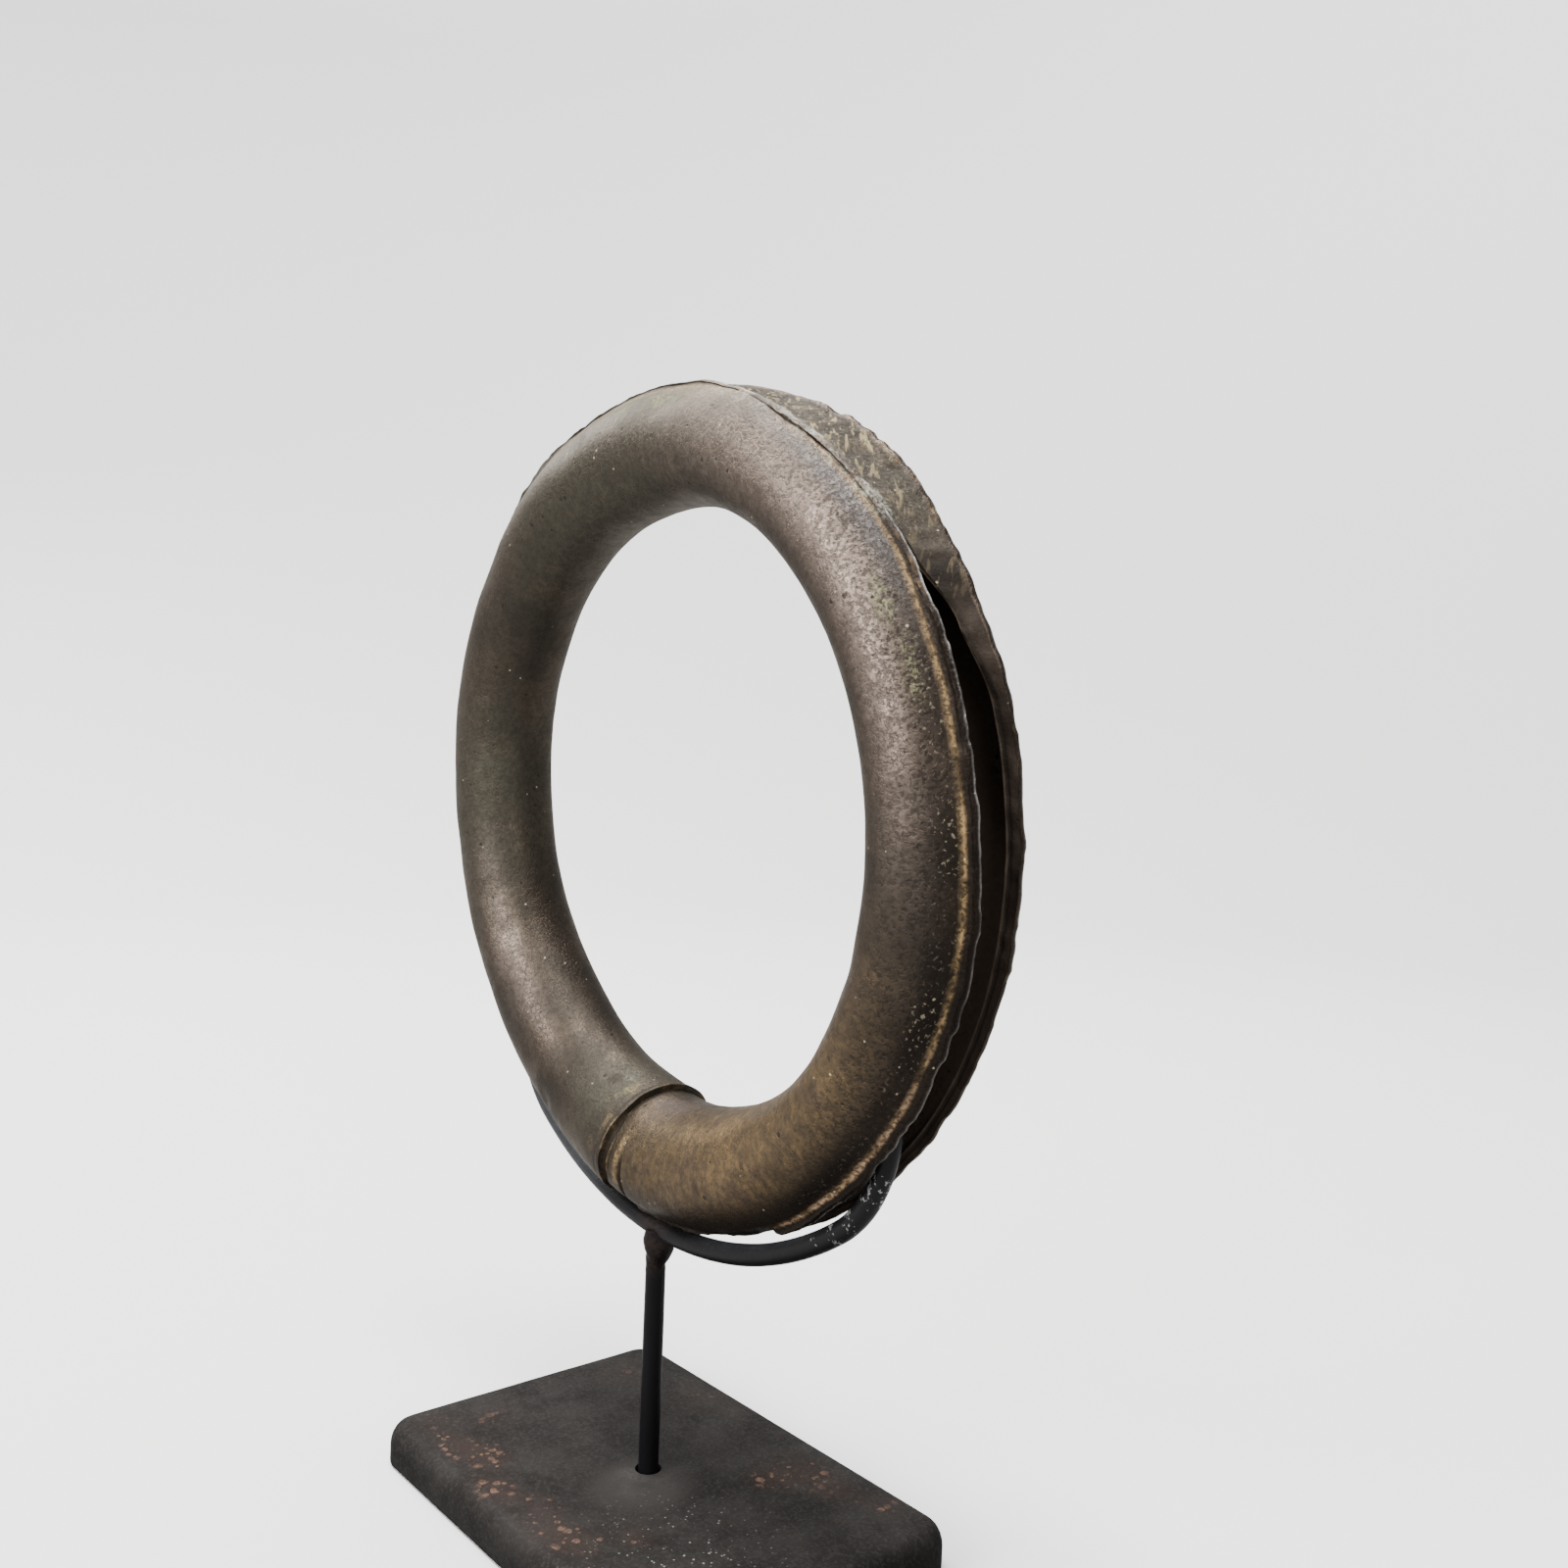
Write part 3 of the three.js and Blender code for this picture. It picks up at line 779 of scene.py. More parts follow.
@dataclass(frozen=True)
class StudioPaper:
    """Pale seamless paper for the floor and wall."""

    pale: Colour = (0.84, 0.84, 0.85)
    # Painted shade: the paper's tone at floor level.
    low: Colour = (0.58, 0.58, 0.575)
    dim: Colour = (0.20, 0.20, 0.20)

    def build(self) -> bpy.types.Material:
        """Makes the material. It is pale where it is seen straight on, with painted shade that darkens it
        towards the floor, and dim where it is only reflected.
        """
        material, wiring, shader = start_material("studio_paper")
        straight = wiring.node("ShaderNodeLightPath").outputs["Is Camera Ray"]
        parted = wiring.node("ShaderNodeSeparateXYZ")
        wiring.feed(parted.inputs[0], wiring.place())
        # Painted shade: darker towards the floor.
        seen = wiring.blend(wiring.span(parted.outputs[2], 0.0, 1.3), self.low, self.pale)
        wiring.feed(shader.inputs["Base Color"], wiring.blend(straight, self.dim, seen))
        shader.inputs["Roughness"].default_value = 0.9
        shader.inputs["Specular IOR Level"].default_value = 0.1
        return material


@dataclass
class BasePlate:
    """The steel plate with softened edges and the drilled hole that the rod stands in. Millimetres.

    Each rust spot is its x, y, reach and strength.
    """

    length: float = 79.0
    width: float = 53.5
    thickness: float = 6.5
    corner_radius: float = 5.0
    shift_x: float = 0.5
    shift_y: float = 0.5
    top_round_in: float = 2.3
    top_round_down: float = 3.2
    foot_round: float = 0.7
    socket_depth: float = 4.2
    socket_radius: float = 2.05
    socket_rows: tuple[float, ...] = (0.25, 0.6, 1.0)
    uneven_length: float = 6.0
    unevenness: float = 0.10
    corner_steps: int = 10
    side_steps: int = 14
    round_steps: int = 7
    top_rings: int = 34
    rust_spots: tuple[tuple[float, float, float, float], ...] = (
        (-20.8, -19.6, 6.0, 0.9), (-16.5, -17.8, 5.0, 1.0), (-25.3, -20.3, 5.0, 0.6),
        (-10.3, -21.8, 5.0, 0.9), (-5.1, -21.8, 5.0, 0.9), (0.2, -18.6, 4.5, 0.7),
        (5.6, -21.5, 6.0, 0.8), (11.2, -20.0, 6.0, 0.9), (15.0, -12.6, 4.5, 0.7),
        (13.3, 13.4, 5.0, 0.9), (15.0, 18.5, 7.0, 0.8), (22.4, 19.5, 5.0, 0.8),
        (29.7, 22.0, 4.0, 0.7), (-32.0, -20.0, 8.0, 0.35), (-28.7, -10.9, 8.0, 0.3),
        (-29.9, 16.2, 8.0, 0.25), (-14.7, 21.2, 8.0, 0.3), (30.0, -16.0, 10.0, 0.35),
    )

    def outline(self, inset: float, height: float) -> np.ndarray:
        """One loop round the plate.

        Args:
            inset: How far inside the plate's outline.
            height: Height over the underside.

        Returns:
            Points anticlockwise from the middle of the right side.
        """
        reach_x = self.length / 2 - self.corner_radius
        reach_y = self.width / 2 - self.corner_radius
        radius = self.corner_radius - inset
        corners = []
        for turn, (side_x, side_y) in enumerate(((1, 1), (-1, 1), (-1, -1), (1, -1))):
            angle = np.radians(90.0 * (turn + np.linspace(0.0, 1.0, self.corner_steps + 1)))
            x = self.shift_x + side_x * reach_x + radius * np.cos(angle)
            y = self.shift_y + side_y * reach_y + radius * np.sin(angle)
            corners.append(np.stack([x, y], axis=-1))
        loop = []
        for turn, corner in enumerate(corners):
            loop.append(corner)
            following = corners[(turn + 1) % 4][0]
            share = np.linspace(0.0, 1.0, self.side_steps + 2)[1:-1, None]
            loop.append(mix(corner[-1], following, share))
        flat = np.concatenate(loop)
        return np.column_stack([flat, np.full(len(flat), height)])

    def build(self, material: bpy.types.Material) -> None:
        """Makes the plate.

        Args:
            material: Its finish.
        """
        rows = []
        for angle in np.linspace(0.0, math.pi / 2, self.round_steps):
            inset = self.foot_round * (1 - math.sin(angle))
            rows.append(self.outline(inset, self.foot_round * (1 - math.cos(angle))))
        for angle in np.linspace(0.0, math.pi / 2, self.round_steps):
            inset = self.top_round_in * (1 - math.cos(angle))
            rows.append(self.outline(inset, self.thickness - self.top_round_down * (1 - math.sin(angle))))
        rim = rows[-1]
        spoke = np.arctan2(rim[:, 1], rim[:, 0])
        mouth = np.stack([np.cos(spoke), np.sin(spoke), np.zeros(len(rim))], axis=-1) * self.socket_radius
        mouth[:, 2] = self.thickness
        for share in np.linspace(0.0, 1.0, self.top_rings)[1:]:
            rows.append(mix(rim, mouth, share))
        for share in self.socket_rows:
            deeper = mouth.copy()
            deeper[:, 2] -= self.socket_depth * share
            rows.append(deeper)
        grid = np.stack(rows)
        edge = (grid[..., 2] > 0.8) & (np.hypot(grid[..., 0], grid[..., 1]) > 8)
        uneven = LatticeNoise(11).layered(grid, self.uneven_length, 3)
        grid[..., 2] -= np.where(edge, self.unevenness * np.abs(uneven), 0.0)
        sheet = SheetMesh("base_plate")
        first = sheet.add_rows(grid, closed_rows=False)
        columns = grid.shape[1]
        sheet.cap(first, columns, np.array([self.shift_x, self.shift_y, 0.0]), turned=True)
        bottom = first + (grid.shape[0] - 1) * columns
        sheet.cap(bottom, columns, np.array([0.0, 0.0, self.thickness - self.socket_depth]), turned=False)
        points = np.concatenate(sheet.points)
        dress(sheet.build(self.masks(points), 40.0), "base", material)

    def masks(self, points: np.ndarray) -> dict[str, np.ndarray]:
        """Where rust and dust gather.

        Args:
            points: The plate's points.

        Returns:
            The masks by name.
        """
        x, y, z = points.T
        rusty = np.full_like(x, 0.1)
        for spot_x, spot_y, reach, strength in self.rust_spots:
            rusty = rusty + strength * hump(np.hypot(x - spot_x, y - spot_y), 0.0, reach)
        sides = smooth(self.thickness - z, 0.6, 3.0)
        rusty = mix(rusty, np.minimum(rusty, 0.32), sides)
        halo = np.hypot(x - 3.5, y + 3.5)
        foot = np.hypot(x, y)
        dusty = 0.8 * hump(halo, 3.0, 7.0) + 0.5 * hump(foot, 3.0, 2.2) * smooth(x - y, 0.0, 3.0)
        sparkling = hump(np.hypot(x - 22.0, y + 10.0), 0.0, 22.0)
        return {
            "rusty": rusty * (z > 0.5), "dusty": dusty * (z > self.thickness - 0.3),
            "sparkling": sparkling * (z > self.thickness - 1.0),
        }


@dataclass
class Cradle:
    """The bent black wire that the bangle rests on. Millimetres, and degrees from straight down.

    Each chip in the paint is its angle, reach and strength.
    """

    centre_x: float = 4.7
    centre_z: float = 109.628
    radius: float = 65.2
    wire_radius: float = 1.6
    bend_angle: float = 34.0
    end_angle: float = 51.0
    tuck: float = 6.5
    uneven_length: float = 5.0
    unevenness: float = 0.035
    tip_steps: int = 7
    sides: int = 28
    stations: int = 220
    chips: tuple[tuple[float, float, float], ...] = (
        (43.5, 4.0, 1.2), (37.5, 2.0, 0.8), (34.0, 2.0, 0.75),
        (30.5, 1.2, 0.6), (-33.0, 2.0, 0.45), (-29.0, 1.5, 0.4),
    )

    def axis(self, swing: np.ndarray) -> np.ndarray:
        """Middle of the wire.

        Args:
            swing: Degrees from straight down, positive to the right.

        Returns:
            Points on the wire's middle line.
        """
        bent = np.maximum(0.0, np.abs(swing) - self.bend_angle) / (self.end_angle - self.bend_angle)
        reach = self.radius - self.tuck * bent**2
        angle = np.radians(swing - 90.0)
        x = self.centre_x + reach * np.cos(angle)
        z = self.centre_z + reach * np.sin(angle)
        return np.stack([x, np.zeros_like(x), z], axis=-1)

    def build(self, material: bpy.types.Material) -> None:
        """Makes the wire.

        Args:
            material: Its finish.
        """
        tip = math.degrees(self.wire_radius / self.radius)
        inner = np.linspace(-self.end_angle + tip, self.end_angle - tip, self.stations)
        round_off = np.linspace(0.0, math.pi / 2, self.tip_steps)[1:]
        right_end = self.end_angle - tip + tip * np.sin(round_off)
        swing = np.concatenate([-right_end[::-1], inner, right_end])
        taper = np.concatenate([np.cos(round_off)[::-1], np.ones(self.stations), np.cos(round_off)])
        taper = np.maximum(taper, 0.05)
        middle = self.axis(swing)
        along = np.gradient(middle, axis=0)
        along /= np.linalg.norm(along, axis=-1, keepdims=True)
        down = np.cross(np.array([0.0, 1.0, 0.0]), along)
        roll = np.linspace(0.0, 2 * math.pi, self.sides, endpoint=False)
        spokes = down[:, None, :] * np.cos(roll)[None, :, None]
        spokes = spokes + np.array([0.0, 1.0, 0.0]) * np.sin(roll)[None, :, None]
        grid = middle[:, None, :] + spokes * (self.wire_radius * taper)[:, None, None]
        uneven = LatticeNoise(21).layered(grid, self.uneven_length, 3)
        grid = grid - spokes * (self.unevenness * (1 + uneven))[..., None]
        sheet = SheetMesh("cradle_wire")
        first = sheet.add_rows(grid, closed_rows=False)
        last = first + (len(swing) - 1) * self.sides
        sheet.cap(first, self.sides, middle[0], turned=True)
        sheet.cap(last, self.sides, middle[-1], turned=False)
        masks = self.masks(np.concatenate(sheet.points))
        dress(sheet.build(masks, 60.0), "cradle", material)

    def masks(self, points: np.ndarray) -> dict[str, np.ndarray]:
        """Where the paint is chipped, where the weld scorched it, and where a painted sheen lightens the
        wire's top and left arm.

        Args:
            points: The wire's points.

        Returns:
            The masks by name.
        """
        x, y, z = points.T
        swing = np.degrees(np.arctan2(x - self.centre_x, self.centre_z - z))
        chipped = sum(strength * hump(swing, at, reach) for at, reach, strength in self.chips)
        facing = smooth(x - self.centre_x - y * 18.0, 10.0, 50.0)
        top = smooth(self.radius - np.hypot(x - self.centre_x, z - self.centre_z), 0.4, 1.5)
        # Painted sheen: grey on the left arm and along the top of the right arm.
        painted_sheen = 0.75 * smooth(-swing, 12.0, 24.0) + 0.6 * top * band(swing, 2.0, 12.0, 28.0, 34.0)
        return {"chipped": chipped * facing, "scorched": hump(x, 0.3, 6.0), "painted_sheen": painted_sheen}


@dataclass
class Post:
    """The upright rod with the lump of weld that holds the wire. Millimetres."""

    radius: float = 1.6
    foot: float = 2.6
    wire_height: float = 44.6
    weld_radius: float = 2.6
    weld_height: float = 7.6
    weld_shift: float = 0.55
    wire_clear: float = 1.63
    foot_taper: float = 0.86
    lump_length: float = 2.2
    lump_height: float = 0.28
    lump_limit: float = 0.18
    wear_length: float = 7.0
    wear: float = 0.03
    sides: int = 40
    rod_rows: int = 40
    weld_rows: int = 44

    def under_wire(self, across: np.ndarray) -> np.ndarray:
        """Height of the hollow that clears the wire."""
        return self.wire_height - np.sqrt(np.clip(self.wire_clear**2 - across**2, 0.0, None))

    def build(self, material: bpy.types.Material) -> None:
        """Makes the rod and its weld as one skin.

        Args:
            material: Its finish.
        """
        weld_foot = self.wire_height - self.weld_height
        heights = np.concatenate([
            [self.foot, self.foot + 0.2], np.linspace(self.foot + 0.4, weld_foot - 1.0, self.rod_rows),
            np.linspace(weld_foot - 0.8, self.wire_height, self.weld_rows),
        ])
        roll = np.linspace(0.0, 2 * math.pi, self.sides, endpoint=False)
        weld_share = np.clip((heights - weld_foot) / self.weld_height, 0.0, 1.0)
        swell = smooth(weld_share, -0.15, 0.72) * (1 - 0.14 * smooth(weld_share, 0.72, 1.0))
        grid = np.empty((len(heights), self.sides, 3))
        noise = LatticeNoise(31)
        for row, (height, full) in enumerate(zip(heights, swell)):
            rod_x = self.radius * np.cos(roll)
            rod_y = self.radius * np.sin(roll)
            lump_x = self.weld_shift + 0.25 + (self.weld_radius - 0.25) * full * np.cos(roll)
            lump_y = (self.weld_radius - 0.1) * full * np.sin(roll)
            outside = smooth(np.hypot(lump_x, lump_y), self.radius - 0.15, self.radius + 0.15)
            x = mix(rod_x, lump_x, outside)
            y = mix(rod_y, lump_y, outside)
            grid[row] = np.column_stack([x, y, np.full(self.sides, height)])
        spoke = np.stack([np.cos(roll), np.sin(roll), np.zeros(self.sides)], axis=-1)
        lumpy = noise.layered(grid, self.lump_length, 3) * self.lump_height
        lumpy = lumpy * smooth(heights, weld_foot - 0.6, weld_foot + 1.4)[:, None]
        worn = noise.layered(grid, self.wear_length, 2) * self.wear
        grid = grid + spoke * (np.minimum(lumpy, self.lump_limit) + worn - self.wear)[..., None]
        grid[0, :, :2] *= self.foot_taper
        grid[..., 2] = np.minimum(grid[..., 2], self.under_wire(grid[..., 1]))
        sheet = SheetMesh("post_rod")
        first = sheet.add_rows(grid, closed_rows=False)
        sheet.cap(first, self.sides, np.array([0.0, 0.0, self.foot]), turned=True)
        edge = first + (len(heights) - 1) * self.sides
        for share in (0.66, 0.33):
            inner = mix(np.array([self.weld_shift, 0.0, 0.0]), grid[-1], share)
            inner[:, 2] = self.under_wire(inner[:, 1])
            following = sheet.add_points(inner)
            sheet.join(edge, following, self.sides)
            edge = following
        top = np.array([self.weld_shift, 0.0, self.wire_height - self.wire_clear])
        sheet.cap(edge, self.sides, top, turned=False)
        points = np.concatenate(sheet.points)
        z = points[:, 2]
        masks = {"scorched": smooth(z, weld_foot - 1.0, weld_foot + 1.5), "chipped": np.zeros(len(z))}
        dress(sheet.build(masks, 50.0), "post", material)


@dataclass(frozen=True)
class Lip:
    """The slit's two edges at one angle. Rises are shares of the full rise; shelf 1 closes the slit."""

    at: float
    front: float
    rear: float
    front_rise: float
    rear_rise: float
    shelf: float


@dataclass(frozen=True)
class Swell:
    """An uneven stretch of the ring: shift of the tube's middle and gain in its half depth."""

    at: float
    spread: float
    shift: float
    gain: float


@dataclass(frozen=True)
class Dent:
    """A dent or bulge in the skin. Bulges have a negative depth. Angle and roll in degrees."""

    at: float
    roll: float
    radius: float
    depth: float


@dataclass
class Section:
    """Rows of points by station and column, out from the tube's middle and across it."""

    out: list[np.ndarray] = field(default_factory=list)
    across: list[np.ndarray] = field(default_factory=list)
    parts: list[Part] = field(default_factory=list)
    share: list[float] = field(default_factory=list)

    def add(self, out: np.ndarray, across: np.ndarray, part: Part, share: float) -> None:
        """Adds one column."""
        self.out.append(out)
        self.across.append(across)
        self.parts.append(part)
        self.share.append(share)

    def curve(self, start: Pair, bend: Pair, end: Pair, part: Part, steps: int) -> None:
        """Adds columns on a curve, without its two ends.

        Args:
            start: First point as (out, across).
            bend: Point that the curve is pulled towards.
            end: Last point.
            part: The stretch that the columns belong to.
            steps: Number of columns.
        """
        for share in np.linspace(0.0, 1.0, steps + 2)[1:-1]:
            pull = ((1 - share) ** 2, 2 * share * (1 - share), share**2)
            out, across = (pull[0] * a + pull[1] * b + pull[2] * c for a, b, c in zip(start, bend, end))
            self.add(out, across, part, share)


@dataclass(frozen=True)
class Surface:
    """What is known of each point of the sheet. Angles in degrees.

    theta runs round the ring and phi round the tube, share is each column's place along its part, and
    behind is how far the point lies behind the sleeve's edge.
    """

    theta: np.ndarray
    phi: np.ndarray
    parts: np.ndarray
    share: np.ndarray
    behind: np.ndarray

    def on(self, *which: Part) -> np.ndarray:
        """1 on the given parts and 0 elsewhere."""
        return np.isin(self.parts, [part.value for part in which])[None, :] * np.ones_like(self.theta)

    def spot(self, at: float, spread: float, roll: float, roll_spread: float) -> np.ndarray:
        """A soft-edged area round one angle and one roll."""
        return hump(self.theta, at, spread) * hump(self.phi, roll, roll_spread)

    def joint_spot(self, at: float, spread: float, roll: float, roll_spread: float) -> np.ndarray:
        """A soft-edged area by the joint, round one distance behind the sleeve's edge and one roll."""
        return hump(self.behind, at, spread) * hump(self.phi, roll, roll_spread)

    def joint_face(self) -> np.ndarray:
        """1 on the front of the tube, where the joint gapes most."""
        return hump(self.phi, -92.0, 48.0)

    def joint_slot(self, soft: float) -> np.ndarray:
        """The open slot in front of the sleeve's edge, with an edge that is soft degrees wide."""
        start = -1.7 * self.joint_face()
        return band(self.behind, start - soft, start - 0.1, -0.25, 0.0)


class Colouring:
    """Works out where each colour of the bangle's surface lies, from 0 to 1.

    skin_reach is millimetres of skin per radian round the tube.
    """

    skin_reach: float = 10.4

    def __init__(self, surface: Surface, grid: np.ndarray, roots: np.ndarray, shelf: np.ndarray) -> None:
        """Reads the surface.

        Args:
            surface: What is known of each point.
            grid: Positions, for uneven edges.
            roots: Direction round the tube where the front lip rises, at each station, in degrees.
            shelf: How far the shelf closes the slit at each station.
        """
        noise = LatticeNoise(57)
        self.surface = surface
        self.theta = surface.theta
        self.phi = surface.phi
        self.share = surface.share[None, :]
        self.behind = surface.behind
        self.on = surface.on
        self.spot = surface.spot
        self.patchy = 0.5 + 0.5 * noise.layered(grid, 7.0, 3)
        self.fine = 0.5 + 0.5 * noise.layered(grid, 2.2, 2)
        self.outer = self.on(Part.SKIN, Part.FRONT_FOOT, Part.REAR_FOOT)
        self.edges = self.on(Part.FRONT_EDGE, Part.REAR_EDGE)
        self.closed = shelf[:, None]
        self.shelf = self.on(Part.SHELF) * self.closed
        self.below_lip = np.radians(roots[:, None] - self.phi) * self.skin_reach

    def crease(self) -> np.ndarray:
        """Golden soil and a painted highlight in the crease along the front lip's foot."""
        theta, fine = self.theta, self.fine
        low = hump(theta, -46.0, 26.0)
        strength = band(theta, -68.0, -60.0, 50.0, 62.0) * (0.7 + 0.3 * hump(theta, -2.0, 26.0) + 0.35 * low)
        strength = strength + 0.55 * band(theta, 74.0, 80.0, 118.0, 134.0)
        width = 0.15 + 0.24 * fine + 0.1 * hump(theta, 0.0, 24.0) + 0.36 * low
        crease = np.exp(-(((self.below_lip + 0.25) / width) ** 2)) * strength
        crease = crease * smooth(self.patchy + 0.6 * fine, 0.35, 0.85)
        return crease * (1 - self.on(Part.FRONT_FOOT) * smooth(self.share, 0.15, 0.6))

    def joint_soil(self) -> np.ndarray:
        """Soil on the joint's ridges, behind its edge and on the sleeve's bead."""
        behind, fine = self.behind, self.fine
        face = self.surface.joint_face()
        ochre = self.surface.joint_spot(3.4, 2.6, -125.0, 60.0) * smooth(fine, 0.45, 0.8)
        strip = band(behind, -4.4, -4.0, -3.0, -2.6) * smooth(face, 0.15, 0.7)
        strip = strip + hump(behind, -1.1, 0.4) * smooth(face, 0.35, 0.8)
        strip = strip + 0.7 * self.surface.joint_spot(-5.3, 0.5, -66.0, 36.0)
        bead = hump(behind, 0.2, 0.8) * smooth(fine, 0.4, 0.7) * 0.45
        return ochre * 0.6 + strip * 0.6 * smooth(fine, 0.2, 0.7) + bead

    def soil(self, crease: np.ndarray) -> np.ndarray:
        """All the golden soil, with the crease's soil and painted highlight."""
        rear_crease = np.exp(-(((self.phi - 30.0) / 2.0) ** 2)) * smooth(self.patchy, 0.3, 0.7) * 0.5
        edges = self.edges * 0.3 * smooth(self.fine, 0.5, 0.85) * smooth(self.theta, 20.0, 40.0)
        return self.outer * (crease + rear_crease + self.joint_soil()) + edges

    def crust(self) -> np.ndarray:
        """Grey-green crust on the closed seam, with a little on the skin."""
        theta, fine = self.theta, self.fine
        seam = band(theta, 36.0, 42.0, 64.0, 76.0) * (1 - 0.8 * smooth(theta, 54.0, 64.0))
        lip = self.on(Part.FRONT_EDGE, Part.FRONT_FACE) + self.on(Part.FRONT_FOOT) * 0.5
        lip = lip + self.on(Part.SHELF) * (self.share < 0.16) * 0.8
        crust = seam * lip * smooth(fine + 0.5 * self.patchy, 0.55, 0.95)
        crust = crust + self.outer * self.spot(62.0, 18.0, -31.0, 11.0) * 0.8 * smooth(fine, 0.45, 0.7)
        by_joint = self.surface.joint_spot(8.0, 4.0, -150.0, 30.0) * 0.5 * smooth(fine, 0.5, 0.8)
        return crust + self.outer * by_joint

    def lichen(self) -> np.ndarray:
        """Green spots."""
        spots = self.spot(29.0, 4.5, -59.0, 10.0) + 0.55 * self.spot(20.0, 6.0, -54.0, 10.0)
        spots = spots + 0.8 * self.spot(88.0, 16.0, -48.0, 18.0) * smooth(self.patchy, 0.4, 0.7)
        by_joint = self.surface.joint_spot(5.0, 4.0, -145.0, 22.0) * smooth(self.fine, 0.4, 0.6)
        return self.outer * (spots + 0.45 * by_joint)

    def golden(self) -> np.ndarray:
        """The golden foot of the ring and golden patches by the seam."""
        foot = hump(self.theta, -60.0, 58.0) * smooth(-self.phi, 45.0, 92.0)
        foot = foot * (1 - 0.5 * smooth(-self.phi, 130.0, 170.0)) * (0.45 + 0.75 * self.patchy)
        foot = foot * smooth(-self.behind, -1.0, 2.0)
        high = self.spot(78.0, 18.0, -30.0, 22.0) * 0.4 * self.fine
        shelf = self.shelf * 0.5 * smooth(self.fine, 0.5, 0.8) * smooth(self.theta, 34.0, 50.0)
        return self.outer * (foot + high) + shelf

    def olive(self) -> np.ndarray:
        """Olive tarnish, strongest over the top, on the left and behind the joint."""
        left = around(self.theta, 180.0)
        olive = 0.25 + 0.7 * hump(self.theta, 105.0, 55.0) + 0.6 * hump(left, -2.0, 40.0)
        return self.shelf * 0.7 + self.outer * (olive + 0.5 * hump(self.behind, 9.0, 14.0))

    def painted_highlight(self) -> np.ndarray:
        """Painted highlight: bright rosy metal on the right, upper right and left."""
        left = hump(around(self.theta, 180.0), 30.0, 36.0) * hump(self.phi, -120.0, 40.0)
        painted_highlight = self.spot(30.0, 50.0, -75.0, 40.0) + 0.75 * left * (0.5 + 0.6 * self.patchy)
        return self.outer * (painted_highlight + self.spot(65.0, 40.0, -90.0, 50.0) * 0.6)

    def slate_shade(self) -> np.ndarray:
        """Painted shade: the dark slate band beside the crease, on the upper right."""
        beside = band(self.below_lip, -0.2, 0.5, 2.2, 4.2) * (0.5 + 0.4 * self.patchy)
        return self.outer * hump(self.theta, 42.0, 32.0) * beside

    def pitted(self) -> np.ndarray:
        """Where the surface is pitted."""
        spots = self.spot(36.0, 46.0, -56.0, 42.0) + 0.8 * self.spot(-20.0, 54.0, -60.0, 44.0)
        return self.outer * spots + self.shelf * 0.8 + self.edges * 0.5

    def cracks(self) -> np.ndarray:
        """The dark lines of the joint."""
        behind, face = self.behind, self.surface.joint_face()
        slot = self.surface.joint_slot(0.35) * (1 - 0.8 * hump(behind, -1.1, 0.45) * smooth(face, 0.35, 0.8))
        groove = hump(behind, -4.6, 0.42) * smooth(hump(self.phi, -66.0, 44.0), 0.05, 0.3)
        return slot * (0.25 + 0.55 * smooth(self.fine, 0.35, 0.65)) + hump(behind, 1.7, 0.5) * 0.3 + groove

    def hollow(self) -> np.ndarray:
        """Painted shade where next to no light comes out, in the bore and the open slit, and the joint's dark
        lines.
        """
        share, gaping = self.share, 1 - self.closed
        unseen = (0.72 + 0.28 * smooth(share, 0.86, 0.92)) * (1 - smooth(share, 0.958, 0.985))
        bore = unseen + smooth(share, 0.985, 1.0) * (0.9 - 0.5 * self.closed)
        face = 0.75 - 0.65 * self.closed * smooth(self.theta, 42.0, 50.0)
        shelf = gaping * (0.3 + 0.7 * (1 - smooth(share, 0.1, 0.35)))
        hollow = self.on(Part.BORE) * bore + self.on(Part.FRONT_FACE) * face + self.on(Part.SHELF) * shelf
        return hollow + self.outer * self.cracks()

    def shade_and_grime(self) -> np.ndarray:
        """Painted shade with some grime: darkening under the front lip, under the foot, round the joint, on
        the rear foot and on the shelf.
        """
        theta, phi, behind, patchy, fine = self.theta, self.phi, self.behind, self.patchy, self.fine
        beside = band(self.below_lip, -0.2, 0.4, 2.6, 6.2) * band(theta, -66.0, -50.0, 14.0, 40.0)
        beside = beside * (0.55 + 0.45 * patchy) * (1 - 0.25 * smooth(theta, -35.0, -5.0))
        under = hump(theta, -86.0, 34.0) * band(phi, -80.0, -48.0, 60.0, 90.0)
        under = under * 0.6 * (0.6 + 0.5 * patchy) * smooth(-behind, 4.0, 7.0)
        joint = hump(behind, 1.3, 0.8) * 0.4 * smooth(fine, 0.4, 0.7)
        joint = joint + self.surface.joint_spot(9.5, 2.6, -152.0, 14.0) * 0.6 * (0.5 + fine)
        lip = smooth(50.0 - theta, 0.0, 20.0) * smooth(theta, -90.0, -66.0) * 0.8
        low_shelf = smooth(44.0 - theta, 0.0, 20.0) * (0.7 + 0.35 * patchy)
        shade_and_grime = self.outer * (beside + under + joint) + self.on(Part.FRONT_FOOT, Part.FRONT_EDGE) * lip
        shade_and_grime = shade_and_grime + self.shelf * (0.1 + 0.32 * smooth(patchy, 0.42, 0.66))
        return shade_and_grime + self.on(Part.REAR_FOOT) * 0.4 + self.on(Part.SHELF) * low_shelf

